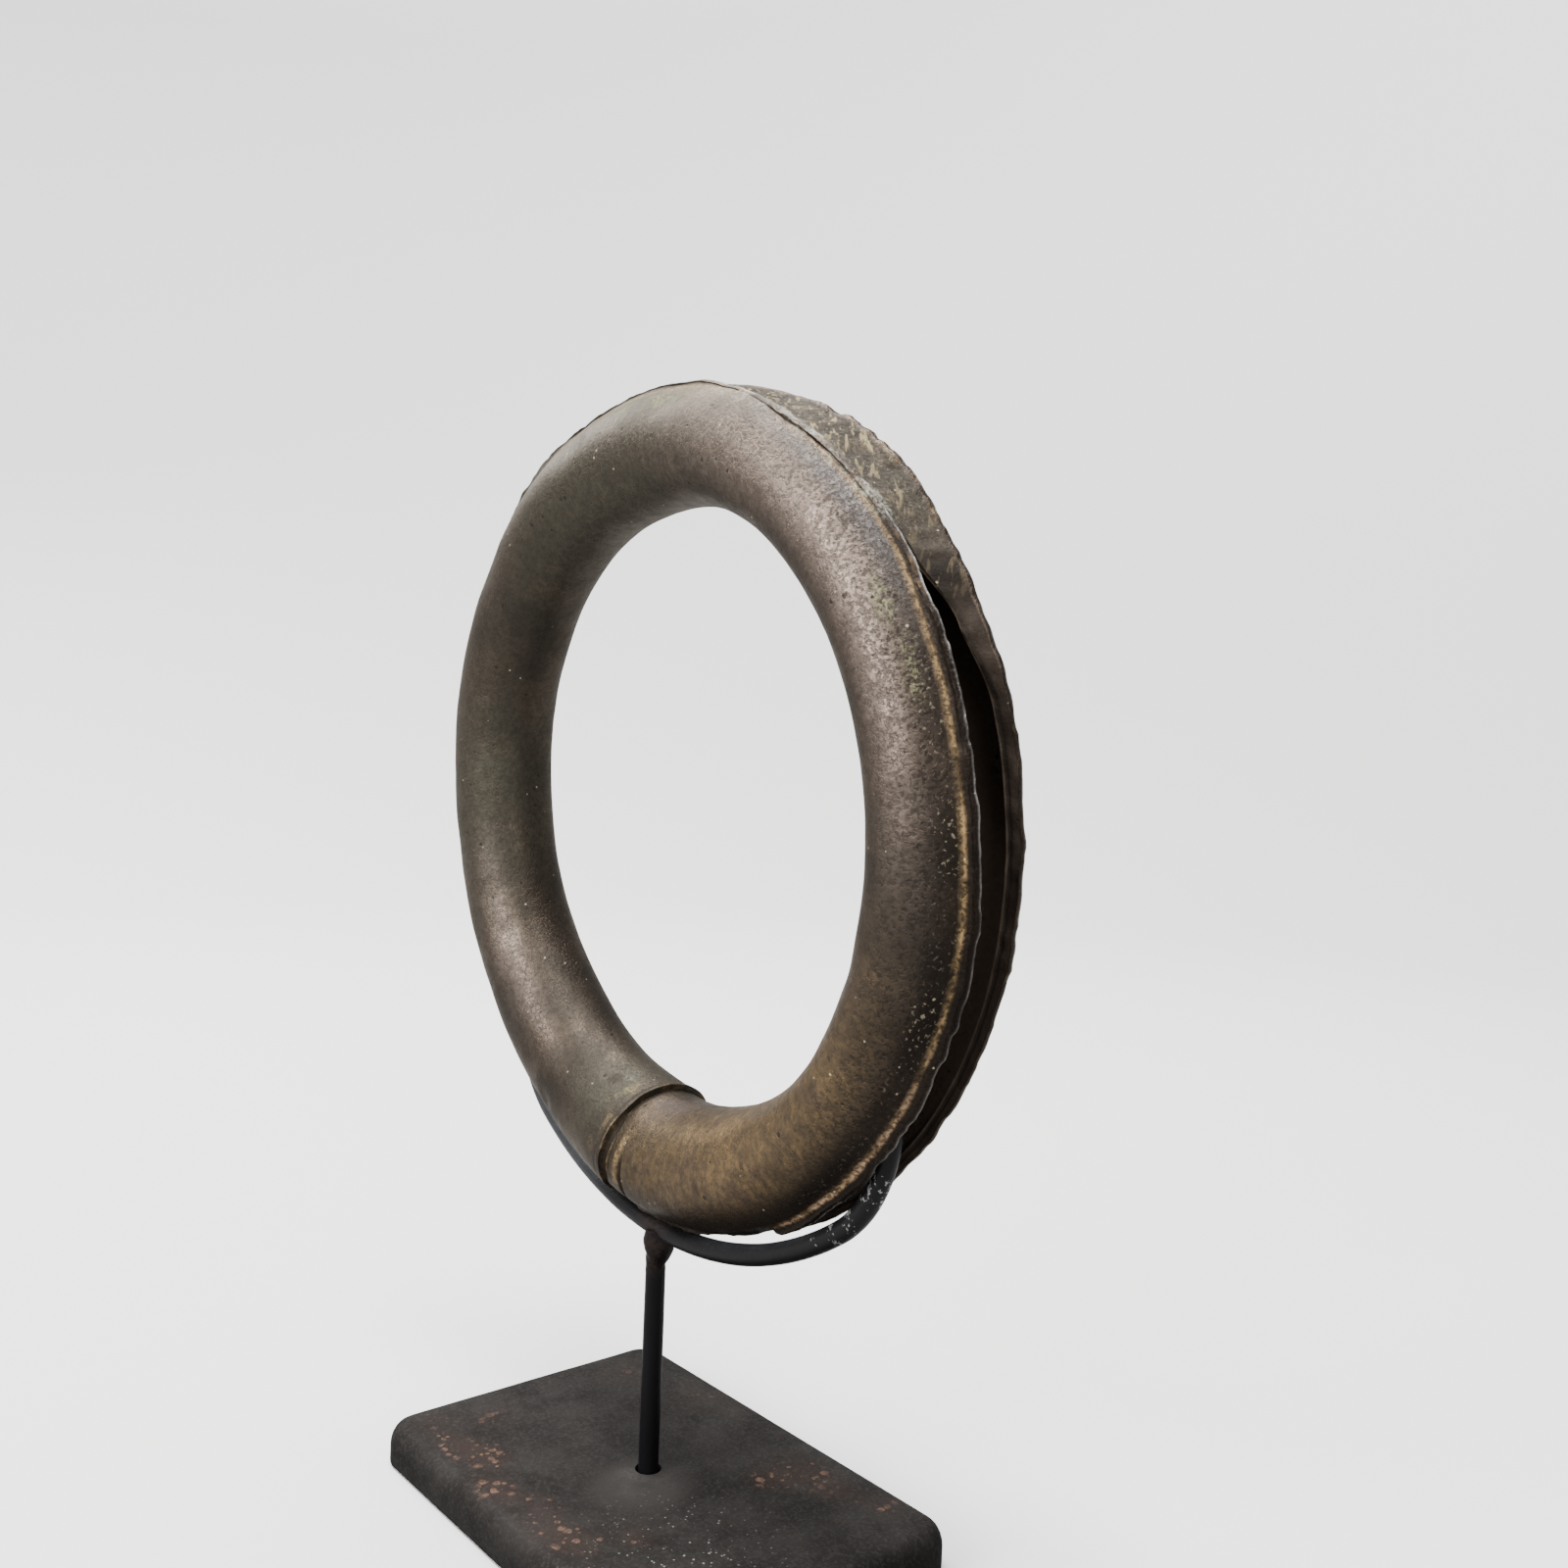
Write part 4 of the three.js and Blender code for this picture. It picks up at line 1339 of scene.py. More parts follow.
    def gritty(self) -> np.ndarray:
        """Pale grit beside the crease, by the seam and on the shelf."""
        beside = hump(self.theta, -14.0, 54.0) * band(self.below_lip, 0.2, 0.8, 3.0, 5.0)
        beside = beside * (0.35 + 0.65 * smooth(self.patchy, 0.3, 0.6))
        seam = self.spot(44.0, 22.0, -40.0, 12.0) * 0.6
        return self.outer * (beside + seam) + self.shelf * 0.45 * smooth(self.theta, 30.0, 44.0)

    def glint_and_wear(self) -> np.ndarray:
        """Painted highlight on the lips' edges, with some bright wear."""
        theta, worn = self.theta, smooth(self.fine, 0.35, 0.6)
        front = smooth(self.share, 0.45, 0.8) * smooth(theta, -60.0, -30.0)
        front = front * (0.3 + 0.6 * hump(theta, 18.0, 36.0)) * (0.35 + 0.65 * worn)
        rear = smooth(self.share, 0.4, 0.8) * 0.75 * worn * (1 - 0.6 * smooth(theta, 34.0, 50.0))
        return self.on(Part.FRONT_EDGE) * front + self.on(Part.REAR_EDGE) * rear

    def fibrous(self) -> np.ndarray:
        """Where the shelf looks fibrous."""
        patchy = 0.5 + 0.5 * smooth(self.patchy, 0.4, 0.7)
        return self.shelf * (0.3 + 0.7 * smooth(self.theta, 34.0, 44.0)) * patchy

    def masks(self) -> dict[str, np.ndarray]:
        """Works out every mask.

        Returns:
            The masks by name.
        """
        crease = self.crease()
        # Painted highlight with dust: a pinkish line on the lower crease.
        crease_glint_and_dust = crease * smooth(-self.theta, 16.0, 40.0) * smooth(self.fine, 0.3, 0.6)
        lined = self.on(Part.BORE, Part.FRONT_FACE)
        return {
            "soil": self.soil(crease), "crust": self.crust(), "golden": self.golden(), "olive": self.olive(),
            "painted_highlight": self.painted_highlight(), "hollow": self.hollow(), "shade_and_grime": self.shade_and_grime(), "gritty": self.gritty(),
            "glint_and_wear": self.glint_and_wear(), "pitted": self.pitted(), "lichen": self.lichen(), "slate_shade": self.slate_shade(),
            "fibrous": self.fibrous(), "crease_glint_and_dust": self.outer * crease_glint_and_dust,
            "scraped": self.outer * self.spot(40.0, 10.0, -47.0, 14.0) + self.shelf,
            "earthy": self.shelf * (0.75 + 0.25 * self.fine) + lined + self.on(Part.SHELF) * 0.5,
            "lining": self.on(Part.BORE) + self.on(Part.SHELF) * (1 - self.closed),
            # Painted shade: a duller mauve patch in front of the joint that tones down a highlight.
            "mauve": self.outer * 0.6 * self.surface.joint_spot(-7.0, 8.0, -168.0, 34.0),
        }


@dataclass
class Bangle:
    """The hollow ring of hammered sheet, open along its outer rim. Millimetres and degrees.

    Angles run round the ring from the right side towards the top. Rolls run round the tube: 0 outwards,
    -90 to the front. Each run of sections is its first angle, its end and its step. The reaches are
    millimetres per radian: round the rim, round the ring's skin and round the tube.
    """

    centre: tuple[float, float, float] = (4.7, -1.57, 109.628)
    ring_radius: float = 53.75
    ring_oval: float = 0.25
    tube_depth: float = 17.9
    tube_depth_taper: float = 0.3
    tube_width: float = 18.8
    tube_width_swell: float = 1.3
    tube_width_top_loss: float = 0.32
    sheet_thickness: float = 1.2
    lean: float = 3.7
    forward_offset: float = 1.57
    cradle_radius: float = 65.2
    cradle_end: float = 51.0
    slit_width: float = 6.0
    arm_slit: float = 5.6
    seam_gap: float = 0.5
    lip_thickness: float = 0.9
    lip_foot: float = 0.55
    lip_rise: float = 1.4
    joint_angle: float = -97.0
    joint_slant: float = 5.0
    joint_fade: float = 26.0
    sleeve_step: float = 0.75
    rim_bead: float = 0.25
    rim_reach: float = 63.0
    outer_reach: float = 58.0
    tube_reach: float = 9.2
    swells: tuple[Swell, ...] = (
        Swell(98, 27, -0.7, 0.0), Swell(160, 40, 0.2, 0.15),
        Swell(-137, 27, -0.4, 0.3), Swell(-90, 18, 0.5, 0.05),
    )
    dents: tuple[Dent, ...] = (
        Dent(-156, -83, 4.0, 0.25), Dent(-141, -97, 3.5, 0.3), Dent(-126, -87, 4.0, 0.25),
        Dent(-119, -72, 3.0, 0.3), Dent(-151, -125, 5.0, 0.3), Dent(-165, -120, 6.0, -0.2),
        Dent(-134, -118, 6.0, -0.2), Dent(-171, -75, 6.0, 0.2), Dent(20, -70, 7.0, 0.2),
        Dent(38, -60, 5.0, 0.2), Dent(5, -55, 6.0, 0.2), Dent(-30, -80, 8.0, 0.2),
        Dent(60, -60, 8.0, 0.2), Dent(85, -70, 8.0, 0.2), Dent(110, -50, 7.0, 0.2),
        Dent(140, -60, 7.0, 0.25), Dent(0, 70, 8.0, 0.25), Dent(40, 80, 8.0, 0.25),
        Dent(90, 75, 8.0, 0.25), Dent(140, 90, 8.0, 0.25), Dent(-60, 85, 8.0, 0.25),
        Dent(-150, 80, 8.0, 0.25), Dent(170, -140, 7.0, 0.2), Dent(-20, -140, 7.0, 0.2),
    )
    spacing: tuple[tuple[float, float, float], ...] = (
        (-180.0, -106.0, 0.82), (-106.0, -99.6, 0.32), (-99.6, -91.4, 0.16), (-91.4, -62.0, 0.62),
        (-62.0, 18.0, 0.72), (18.0, 66.0, 0.48), (66.0, 128.0, 0.62), (128.0, 180.0, 0.85),
    )
    skin_steps: int = 86
    bore_steps: int = 44
    front_foot_steps: int = 5
    rear_foot_steps: int = 4
    edge_steps: int = 3
    face_steps: int = 3
    shelf_steps: int = 10
    full_rise: float = 0.86
    least_rise: float = 0.12
    lip_crown: float = 0.32
    foot_rise: float = 0.15
    foot_reach: float = 0.12

    def wire_across(self, angle: float) -> float:
        """Where the cradle's wire runs across the tube."""
        lean = math.radians(self.lean)
        drop = self.cradle_radius * math.sin(math.radians(angle))
        return self.forward_offset * math.cos(lean) + drop * math.sin(lean)

    def lips(self) -> list[Lip]:
        """The slit's edges round the ring."""
        half = self.slit_width / 2
        right_arm = self.cradle_end - 90
        left_arm = -self.cradle_end - 90
        front = self.wire_across(right_arm) - self.arm_slit / 2
        rear = self.wire_across(right_arm) + self.arm_slit / 2
        return [
            Lip(-180, -2.5, 1.2, 0.4, 0.5, 0),
            Lip(left_arm - 8, front, rear, 0.3, 0.4, 0),
            Lip(left_arm + 16, front, rear, 0, 0.3, 0),
            Lip(self.joint_angle, -half, 1.6, 0, 0.3, 0),
            Lip(-90, -half, 1.65, 1.1, 0.33, 0),
            Lip(-83, -half, 1.68, 0.8, 0.36, 0),
            Lip(-76, -half, 1.72, 0.3, 0.38, 0),
            Lip(-66.2, -half, 1.8, 0, 0.4, 0),
            Lip(-65, -half - 0.2, 2, 0.8, 0.5, 0),
            Lip(right_arm - 12, front, rear + 0.6, 0.6, 0.4, 0),
            Lip(right_arm + 4, front, rear + 1, 0.75, 0.45, 0),
            Lip(-15, -half - 0.3, half - 0.1, 0.9, 0.9, 0),
            Lip(15, -half - 1, half + 0.2, 0.9, 0.85, 0.05),
            Lip(25, -half - 1.1, half + 0.2, 0.75, 0.7, 0.4),
            Lip(34, -half - 0.7, half + 0.2, 0.45, 0.8, 0.9),
            Lip(42, -half - 0.9, half, 0.2, 1.1, 1),
            Lip(50, -half - 1.1, half - 0.2, 0.1, 1.2, 1),
            Lip(60, -half - 1.3, half - 0.4, 0, 0.5, 1),
            Lip(74, -half - 0.3, half - 1, 0, 0, 1),
            Lip(78, -half - 0.4, half - 1, 0.35, 0, 1),
            Lip(104, -half - 0.2, 1.6, 0.3, 0.2, 1),
            Lip(124, -half, 1.4, 1, 0.4, 0.3),
            Lip(146, -2.6, 1.2, 0.6, 0.5, 0),
        ]

    def lips_at(self, angle: np.ndarray) -> dict[str, np.ndarray]:
        """The slit's edges at each station.

        Args:
            angle: Angles round the ring.

        Returns:
            Each of the lips' values by name, rises in millimetres.
        """
        rows = self.lips()
        starts = np.array([row.at for row in rows])
        wrapped = (angle - starts[0]) % 360.0 + starts[0]
        lower = np.searchsorted(starts, wrapped, side="right") - 1
        upper = (lower + 1) % len(rows)
        end = np.where(upper == 0, starts[0] + 360.0, starts[upper])
        share = np.clip((wrapped - starts[lower]) / (end - starts[lower]), 0.0, 1.0)
        share = share * share * (3 - 2 * share)
        values = {}
        for name in ("front", "rear", "front_rise", "rear_rise", "shelf"):
            column = np.array([getattr(row, name) for row in rows])
            values[name] = mix(column[lower], column[upper], share)
        values["front_rise"] *= self.lip_rise
        values["rear_rise"] *= self.lip_rise
        return values

    def tube_at(self, angle: np.ndarray) -> tuple[np.ndarray, np.ndarray, np.ndarray]:
        """The tube round the ring.

        Args:
            angle: Angles round the ring.

        Returns:
            Radius of the tube's middle, its half depth and its half width.
        """
        turn = np.radians(angle)
        middle = self.ring_radius + self.ring_oval * np.cos(2 * turn)
        depth = self.tube_depth / 2 - self.tube_depth_taper * np.cos(turn)
        width = self.tube_width / 2 + self.tube_width_swell * np.cos(turn)
        width = width - self.tube_width_top_loss * np.sin(turn)
        for swell in self.swells:
            share = 1.0 - smooth(np.abs(around(angle, swell.at)), 0.0, swell.spread)
            middle = middle + swell.shift * share
            depth = depth + swell.gain * share
        return middle, depth, width

    def stations(self) -> np.ndarray:
        """Angles of the sections, closer together where the detail is fine.

        Returns:
            The angles. A run stops short of the next one's first, so that no two sections coincide.
        """
        runs = [np.arange(start, end - 0.01, step) for start, end, step in self.spacing]
        return np.concatenate(runs)

    def ragged(self, angle: np.ndarray, seed: int) -> tuple[np.ndarray, np.ndarray]:
        """Torn unevenness along a lip.

        Args:
            angle: Angles round the ring.
            seed: Start of the random numbers.

        Returns:
            Share by which the lip's rise varies, and millimetres by which it strays across the tube.
        """
        along = np.radians(angle) * self.rim_reach + 500.0
        line = np.stack([along, np.full_like(angle, 3.7), np.full_like(angle, 9.1)], axis=-1)
        noise = LatticeNoise(seed)
        rise = 0.16 * noise.sample(line, 5.0) + 0.2 * noise.sample(line, 2.2) + 0.16 * noise.sample(line, 1.1)
        stray = 0.12 * noise.sample(line + 40, 7.0) + 0.1 * noise.sample(line + 60, 2.0)
        return rise, stray

    def section(self, angle: np.ndarray) -> Section:
        """The sheet's section at each station.

        Args:
            angle: Angles round the ring.

        Returns:
            The columns, from the rear lip's foot over the skin to the front lip, and back inside.
        """
        _, depth, width = self.tube_at(angle)
        lips = self.lips_at(angle)
        bore_depth = depth - self.sheet_thickness
        bore_width = width - self.sheet_thickness

        def on_skin(across: np.ndarray) -> np.ndarray:
            """How far out the skin is at a place across the tube."""
            return depth * np.sqrt(np.clip(1 - (across / width) ** 2, 0.0, 1.0))

        def on_bore(across: np.ndarray) -> np.ndarray:
            """How far out the bore is at a place across the tube."""
            return bore_depth * np.sqrt(np.clip(1 - (across / bore_width) ** 2, 0.0, 1.0))

        front_rough, front_stray = self.ragged(angle, 41)
        rear_rough, rear_stray = self.ragged(angle, 43)
        front_rise = lips["front_rise"] * (self.full_rise + front_rough) + self.least_rise * front_rough
        rear_rise = lips["rear_rise"] * (self.full_rise + rear_rough) + self.least_rise * rear_rough
        open_share = 1 - 0.8 * lips["shelf"]
        front = lips["front"] + front_stray * open_share
        rear = lips["rear"] + rear_stray
        front_tip = front - self.lip_thickness
        rear_tip = rear + self.lip_thickness
        front_root = np.arcsin((front_tip - self.lip_foot) / width)
        rear_root = np.arcsin((rear_tip + self.lip_foot) / width)

        made = Section()
        for share in np.linspace(0.0, 1.0, self.skin_steps):
            roll = mix(rear_root, 2 * math.pi + front_root, share)
            made.add(depth * np.cos(roll), width * np.sin(roll), Part.SKIN, share)
        root = (made.out[-1], made.across[-1])
        tip = (on_skin(front_tip) + front_rise, front_tip)
        foot = (on_skin(front_tip) + self.foot_rise * front_rise, front_tip - self.foot_reach)
        made.curve(root, foot, tip, Part.FRONT_FOOT, self.front_foot_steps)
        inner = (on_skin(front) + front_rise - 0.1, front)
        flush = lips["shelf"] * smooth(angle, 50.0, 60.0)
        crown = (tip[0] + self.lip_crown * (1 - 0.7 * flush), (tip[1] + inner[1]) / 2)
        made.add(*tip, Part.FRONT_EDGE, 0.0)
        made.curve(tip, crown, inner, Part.FRONT_EDGE, self.edge_steps)
        made.add(*inner, Part.FRONT_EDGE, 1.0)
        bore_start = (on_bore(front), front)
        middle = ((inner[0] + bore_start[0]) / 2, front)
        made.curve(inner, middle, bore_start, Part.FRONT_FACE, self.face_steps)
        seam = front + self.seam_gap * (1 - 0.75 * lips["shelf"] * smooth(angle, 42.0, 50.0))
        toe = mix(rear, seam, lips["shelf"])
        start_roll = np.arcsin(front / bore_width)
        end_roll = np.arcsin(toe / bore_width)
        for share in np.linspace(0.0, 1.0, self.bore_steps):
            roll = mix(start_roll, end_roll - 2 * math.pi, share)
            made.add(bore_depth * np.cos(roll), bore_width * np.sin(roll), Part.BORE, share)
        low_shelf = mix(on_bore(rear), on_skin(rear), 0.5)
        shelf_top = (mix(low_shelf, on_skin(seam) - 0.3 * (1 - 0.8 * flush), lips["shelf"]), toe)
        under = (made.out[-1], made.across[-1])
        made.curve(under, shelf_top, shelf_top, Part.SHELF, 2)
        rear_top = (on_skin(rear) + rear_rise - 0.1, rear)
        made.add(*shelf_top, Part.SHELF, 0.3)
        sag = ((shelf_top[0] + rear_top[0]) / 2 - 0.25 * lips["shelf"], (shelf_top[1] + rear_top[1]) / 2)
        made.curve(shelf_top, sag, rear_top, Part.SHELF, self.shelf_steps)
        made.add(*rear_top, Part.REAR_EDGE, 0.0)
        rear_end = (on_skin(rear_tip) + rear_rise, rear_tip)
        rear_crown = (rear_end[0] + 0.3, (rear_top[1] + rear_end[1]) / 2)
        made.curve(rear_top, rear_crown, rear_end, Part.REAR_EDGE, self.edge_steps)
        made.add(*rear_end, Part.REAR_EDGE, 1.0)
        first = (made.out[0], made.across[0])
        foot = (on_skin(rear_tip) + self.foot_rise * rear_rise, rear_tip + self.foot_reach)
        made.curve(rear_end, foot, first, Part.REAR_FOOT, self.rear_foot_steps)
        return made

    def roots(self, angle: np.ndarray) -> np.ndarray:
        """Direction round the tube, in degrees, where the front lip rises from the skin.

        Args:
            angle: Angles round the ring.

        Returns:
            One direction for each angle.
        """
        _, depth, width = self.tube_at(angle)
        across = self.lips_at(angle)["front"] - self.lip_thickness - self.lip_foot
        out = depth * np.sqrt(1 - (across / width) ** 2)
        return np.degrees(np.arctan2(across, out))

    def sleeve_lift(self, behind: np.ndarray, roll: np.ndarray) -> np.ndarray:
        """How far the sleeve stands out over the tube that it grips.

        Args:
            behind: Degrees behind the sleeve's edge.
            roll: Direction round the tube, in radians.

        Returns:
            The lift, 0 in front of the edge.
        """
        full = self.sleeve_step * (0.75 - 0.25 * np.cos(roll))
        bead = self.rim_bead * (1 - smooth(behind, 0.6, 2.4)) * (0.5 - 0.5 * np.cos(roll))
        lift = full * (1 - smooth(behind, 0.0, self.joint_fade)) + bead
        return np.where(behind < 0, 0.0, lift)

    def build(self, material: bpy.types.Material) -> None:
        """Makes the bangle.

        Args:
            material: Its finish.
        """
        angle = self.stations()
        made = self.section(angle)
        out = np.stack(made.out, axis=1)
        across = np.stack(made.across, axis=1)
        parts = np.array([part.value for part in made.parts])
        share = np.array(made.share)
        middle, _, _ = self.tube_at(angle)
        theta = np.broadcast_to(angle[:, None], out.shape)
        roll = np.arctan2(across, out)
        behind = self.joint_angle - theta
        surface = Surface(theta, np.degrees(roll), parts, share, behind)
        inside = surface.on(Part.FRONT_FACE, Part.BORE, Part.SHELF)
        lift = (1 - inside) * self.sleeve_lift(behind, roll)
        near = np.maximum(0.0, 1 - np.abs(theta - self.joint_angle) / self.joint_fade)
        rim = np.stack([np.cos(roll), np.sin(roll), np.zeros_like(roll)], axis=-1)
        rim = rim * self.tube_reach + 200.0
        wander = 0.5 * near**4 * LatticeNoise(17).layered(rim, 2.6, 2)
        turn = np.radians(theta - near * self.joint_slant * (0.5 + 0.5 * np.cos(roll)) + wander)
        grow = 1 + lift / np.hypot(out, across)
        radius = middle[:, None] + out * grow
        grid = np.stack([radius * np.cos(turn), across * grow, radius * np.sin(turn)], axis=-1)
        normal = self.normals(grid)
        grid = grid + normal * self.relief(grid, surface)[..., None]
        points = self.placed(grid)
        sheet = SheetMesh("bangle_bronze")
        sheet.add_rows(points, closed_rows=True)
        masks = Colouring(surface, grid, self.roots(angle), self.lips_at(angle)["shelf"]).masks()
        masks["streaks"] = self.streaks(grid)
        dress(sheet.build(masks, 55.0), "bangle", material)

    def streaks(self, grid: np.ndarray) -> np.ndarray:
        """Places in metres, squeezed within the tube's section, so that noise draws out round the tube.

        Args:
            grid: Positions in the ring's own frame.

        Returns:
            One vector for each point.
        """
        spoke = grid * np.array([1.0, 0.0, 1.0])
        spoke = spoke / np.linalg.norm(spoke, axis=-1, keepdims=True) * self.ring_radius
        return (spoke + 0.55 * (grid - spoke)) * MM

    @staticmethod
    def normals(grid: np.ndarray) -> np.ndarray:
        """Directions straight out of a closed grid of points."""
        along = np.roll(grid, -1, axis=0) - np.roll(grid, 1, axis=0)
        over = np.roll(grid, -1, axis=1) - np.roll(grid, 1, axis=1)
        normal = np.cross(over, along)
        return normal / np.maximum(np.linalg.norm(normal, axis=-1, keepdims=True), 1e-9)

    def relief(self, grid: np.ndarray, surface: Surface) -> np.ndarray:
        """Hammer marks, dents, crust and the joint's grooves.

        Args:
            grid: Positions before relief.
            surface: What is known of each point.

        Returns:
            Millimetres outwards at each point.
        """
        noise = LatticeNoise(7)
        skin = surface.on(Part.SKIN, Part.FRONT_FOOT, Part.REAR_FOOT)
        shelf = surface.on(Part.SHELF)
        edge = surface.on(Part.FRONT_EDGE, Part.REAR_EDGE)
        hammered = 0.2 * noise.sample(grid, 15.0) + 0.07 * noise.sample(grid + 90, 6.0)
        hammered = hammered + 0.03 * noise.sample(grid + 55, 2.4)
        height = skin * (hammered - 0.05 - self.dented(surface))
        rough = noise.layered(grid + 31, 1.8, 2)
        torn = noise.layered(grid * np.array([1.0, 0.45, 1.0]) + 47, 1.3, 2)
        height = height + shelf * (0.26 * torn - 0.12) + edge * 0.12 * rough
        ridge = band(surface.theta, 36.0, 44.0, 58.0, 72.0)
        height = height + edge * ridge * (0.3 + 0.3 * noise.layered(grid + 63, 1.4, 2))
        pitted = surface.spot(38.0, 26.0, -52.0, 34.0) * smooth(noise.layered(grid + 12, 1.6, 2), 0.1, 0.7)
        crusty = surface.spot(52.0, 20.0, -28.0, 14.0) * smooth(rough, -0.1, 0.6)
        height = height - skin * 0.16 * pitted + (skin + edge) * 0.18 * crusty
        return height + (skin + edge) * self.joint_relief(grid, surface, noise)

    def dented(self, surface: Surface) -> np.ndarray:
        """Depth of the dents.

        Args:
            surface: What is known of each point.

        Returns:
            Millimetres inwards at each point.
        """
        depth = np.zeros_like(surface.theta)
        for dent in self.dents:
            along = np.radians(around(surface.theta, dent.at)) * self.outer_reach
            over = np.radians(around(surface.phi, dent.roll)) * self.tube_reach
            depth = depth + dent.depth * (1 - smooth(np.hypot(along, over), 0.0, dent.radius))
        return depth

    @staticmethod
    def joint_relief(grid: np.ndarray, surface: Surface, noise: LatticeNoise) -> np.ndarray:
        """The slot, the ridges and the grooves round the joint.

        Args:
            grid: Positions before relief.
            surface: What is known of each point.
            noise: Source of the unevenness.

        Returns:
            Millimetres outwards at each point.
        """
        behind = surface.behind
        face = surface.joint_face()
        height = 0.24 * hump(behind, -1.1, 0.4) * smooth(face, 0.35, 0.8) - 0.26 * surface.joint_slot(0.4)
        height = height + 0.14 * band(behind, -4.6, -4.1, -2.9, -2.4) * face
        height = height - 0.42 * surface.joint_spot(-4.6, 0.5, -66.0, 44.0)
        height = height - 0.12 * hump(behind, 1.7, 0.6) * (0.6 + 0.4 * noise.sample(grid, 4.0))
        return height + 0.16 * hump(behind, 0.7, 1.0) * noise.layered(grid + 8, 2.0, 2)

    def placed(self, grid: np.ndarray) -> np.ndarray:
        """Leans the ring back, moves it onto the cradle and keeps it in its solid's box.

        Args:
            grid: Positions in the ring's own frame.

        Returns:
            Positions in the part's frame.
        """
        lean = math.radians(self.lean)
        x = grid[..., 0] + self.centre[0]
        y = grid[..., 1] * math.cos(lean) - grid[..., 2] * math.sin(lean) + self.centre[1]
        z = grid[..., 1] * math.sin(lean) + grid[..., 2] * math.cos(lean) + self.centre[2]
        low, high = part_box("bangle")
        points = np.stack([x, y, z], axis=-1)
        return np.clip(points, np.array(low) / MM, np.array(high) / MM)


@dataclass(frozen=True)
class Softbox:
    """A soft rectangular light, aimed at the bangle. Metres and watts."""

    name: str
    place: tuple[float, float, float]
    width: float
    height: float
    power: float
    colour: Colour = (1.0, 1.0, 1.0)
    aim: tuple[float, float, float] = (0.005, 0.0, 0.11)

    def build(self) -> None:
        """Makes the light."""
        data = bpy.data.lights.new(self.name, "AREA")
        data.shape = "RECTANGLE"
        data.size = self.width
        data.size_y = self.height
        data.energy = self.power
        data.color = self.colour
        lamp = bpy.data.objects.new(self.name, data)
        lamp.location = self.place
        lamp.rotation_euler = (Vector(self.aim) - Vector(self.place)).to_track_quat("-Z", "Y").to_euler()
        bpy.context.scene.collection.objects.link(lamp)


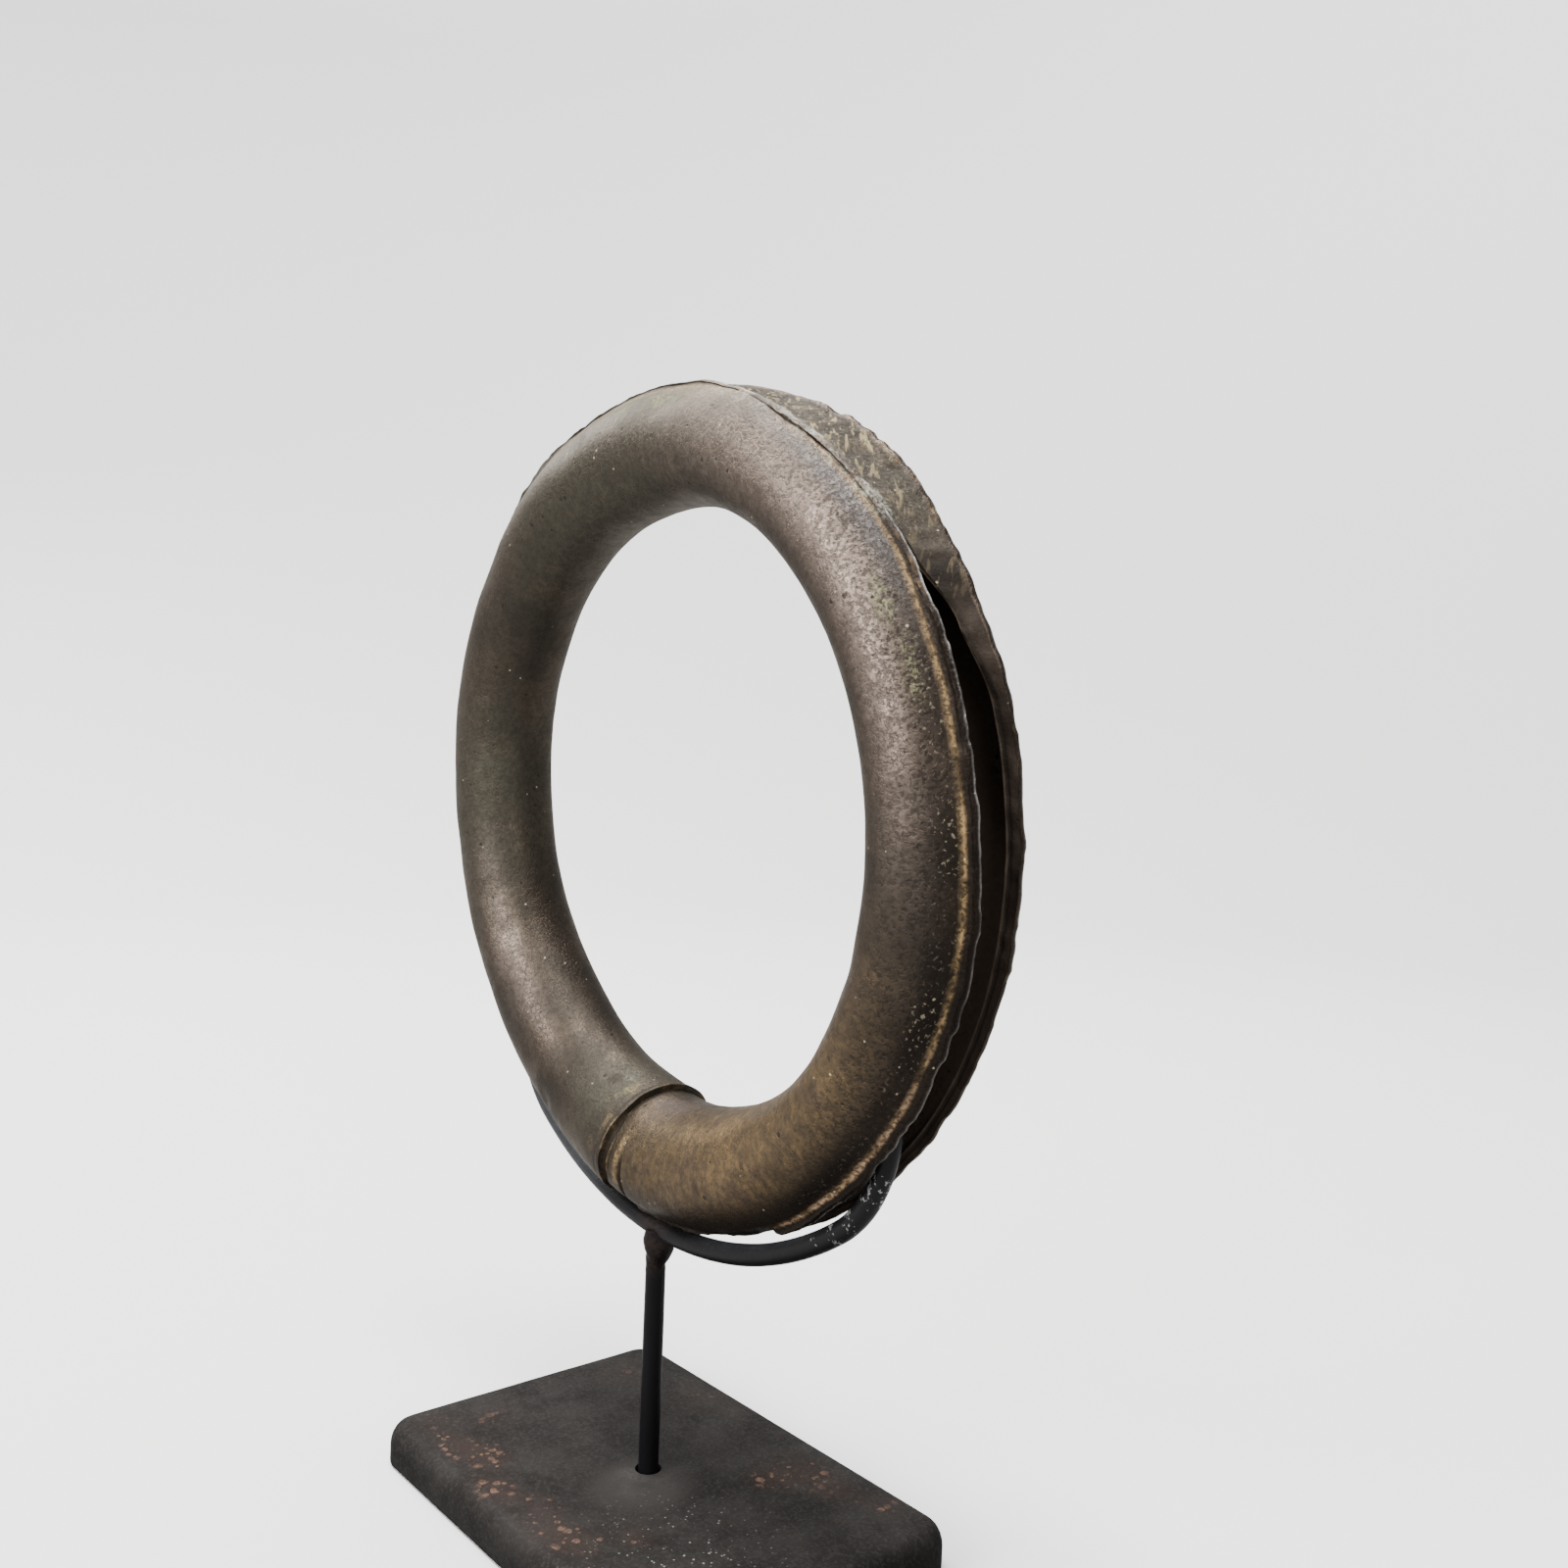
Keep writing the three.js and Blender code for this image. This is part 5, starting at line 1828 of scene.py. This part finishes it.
@dataclass
class Studio:
    """The pale floor and wall, the lights and the world's light. Metres."""

    floor_radius: float = 0.75
    wall_radius: float = 1.7
    wall_height: float = 2.4
    floor_steps: int = 10
    sweep_steps: int = 24
    turn_steps: int = 96
    world_strength: float = 0.33
    lights: tuple[Softbox, ...] = (
        Softbox("front_softbox", (-0.1, -0.95, 0.5), 0.42, 0.42, 16.0),
        Softbox("top_softbox", (-0.40, 0.0, 1.35), 0.9, 0.9, 58.0),
        Softbox("backdrop_softbox", (0.35, -0.3, 1.75), 0.8, 0.8, 100.0, aim=(-1.3, 1.1, 1.0)),
        Softbox("left_softbox", (-1.1, -0.15, 0.85), 0.5, 0.5, 10.5),
        Softbox("right_softbox", (0.95, -0.45, 0.35), 0.5, 0.5, 4.0),
    )

    def build(self) -> None:
        """Makes the stage, the lights and the world's light."""
        paper = StudioPaper().build()
        profile = [(0.0, 0.0)]
        profile += [(radius, 0.0) for radius in np.linspace(0.05, self.floor_radius, self.floor_steps)]
        sweep = self.wall_radius - self.floor_radius
        for angle in np.linspace(0.0, math.pi / 2, self.sweep_steps)[1:]:
            profile.append((self.floor_radius + sweep * math.sin(angle), sweep * (1 - math.cos(angle))))
        profile.append((self.wall_radius, self.wall_height))
        turn = np.linspace(0.0, 2 * math.pi, self.turn_steps, endpoint=False)
        rows = [
            np.stack([radius * np.cos(turn), radius * np.sin(turn), np.full_like(turn, height)], axis=-1)
            for radius, height in profile[1:]
        ]
        grid = np.stack(rows) / MM
        sheet = SheetMesh("studio_floor")
        first = sheet.add_rows(grid, closed_rows=False)
        sheet.cap(first, self.turn_steps, np.zeros(3), turned=True)
        floor = sheet.build({}, 180.0)
        floor.data.materials.append(paper)
        floor.data.flip_normals()

        for light in self.lights:
            light.build()
        world = bpy.data.worlds.new("studio_air")
        world.use_nodes = True
        world.node_tree.nodes["Background"].inputs["Color"].default_value = (1.0, 1.0, 1.0, 1.0)
        world.node_tree.nodes["Background"].inputs["Strength"].default_value = self.world_strength
        bpy.context.scene.world = world
        log.info("studio: %d lights", len(self.lights))


@dataclass
class PhotographCamera:
    """The camera where the photograph was taken from. Millimetres and degrees."""

    place: tuple[float, float, float] = (179.92, -130.09, 121.29)
    yaw: float = 139.771
    pitch: float = 1.958
    roll: float = 2.277
    lens: float = 33.24
    sensor: float = 36.0

    def build(self) -> None:
        """Makes the camera and sets it as the scene's."""
        yaw, pitch, roll = (math.radians(value) for value in (self.yaw, self.pitch, self.roll))
        forward = Vector((math.cos(pitch) * math.cos(yaw), math.cos(pitch) * math.sin(yaw), -math.sin(pitch)))
        level = Vector((math.sin(yaw), -math.cos(yaw), 0.0))
        upright = level.cross(forward)
        right = level * math.cos(roll) + upright * math.sin(roll)
        up = upright * math.cos(roll) - level * math.sin(roll)
        data = bpy.data.cameras.new("photograph_camera")
        data.lens = self.lens
        data.sensor_width = self.sensor
        data.sensor_fit = "HORIZONTAL"
        data.clip_start = 0.01
        camera = bpy.data.objects.new("photograph_camera", data)
        turned = Matrix((right, up, -forward)).transposed().to_4x4()
        turned.translation = Vector(self.place) * MM
        camera.matrix_world = turned
        bpy.context.scene.collection.objects.link(camera)
        bpy.context.scene.camera = camera


def main() -> None:
    """Builds every piece in order."""
    logging.basicConfig(level=logging.INFO, format="%(name)s: %(message)s")
    effects = Effects()
    BasePlate().build(RustedPlate().build(effects))
    Post().build(BlackPaint("rod_paint", specular=0.08).build(effects))
    Cradle().build(BlackPaint("wire_paint").build(effects))
    Bangle().build(AgedBronze().build(effects))
    Studio().build()
    PhotographCamera().build()


if __name__ == "__main__":
    main()
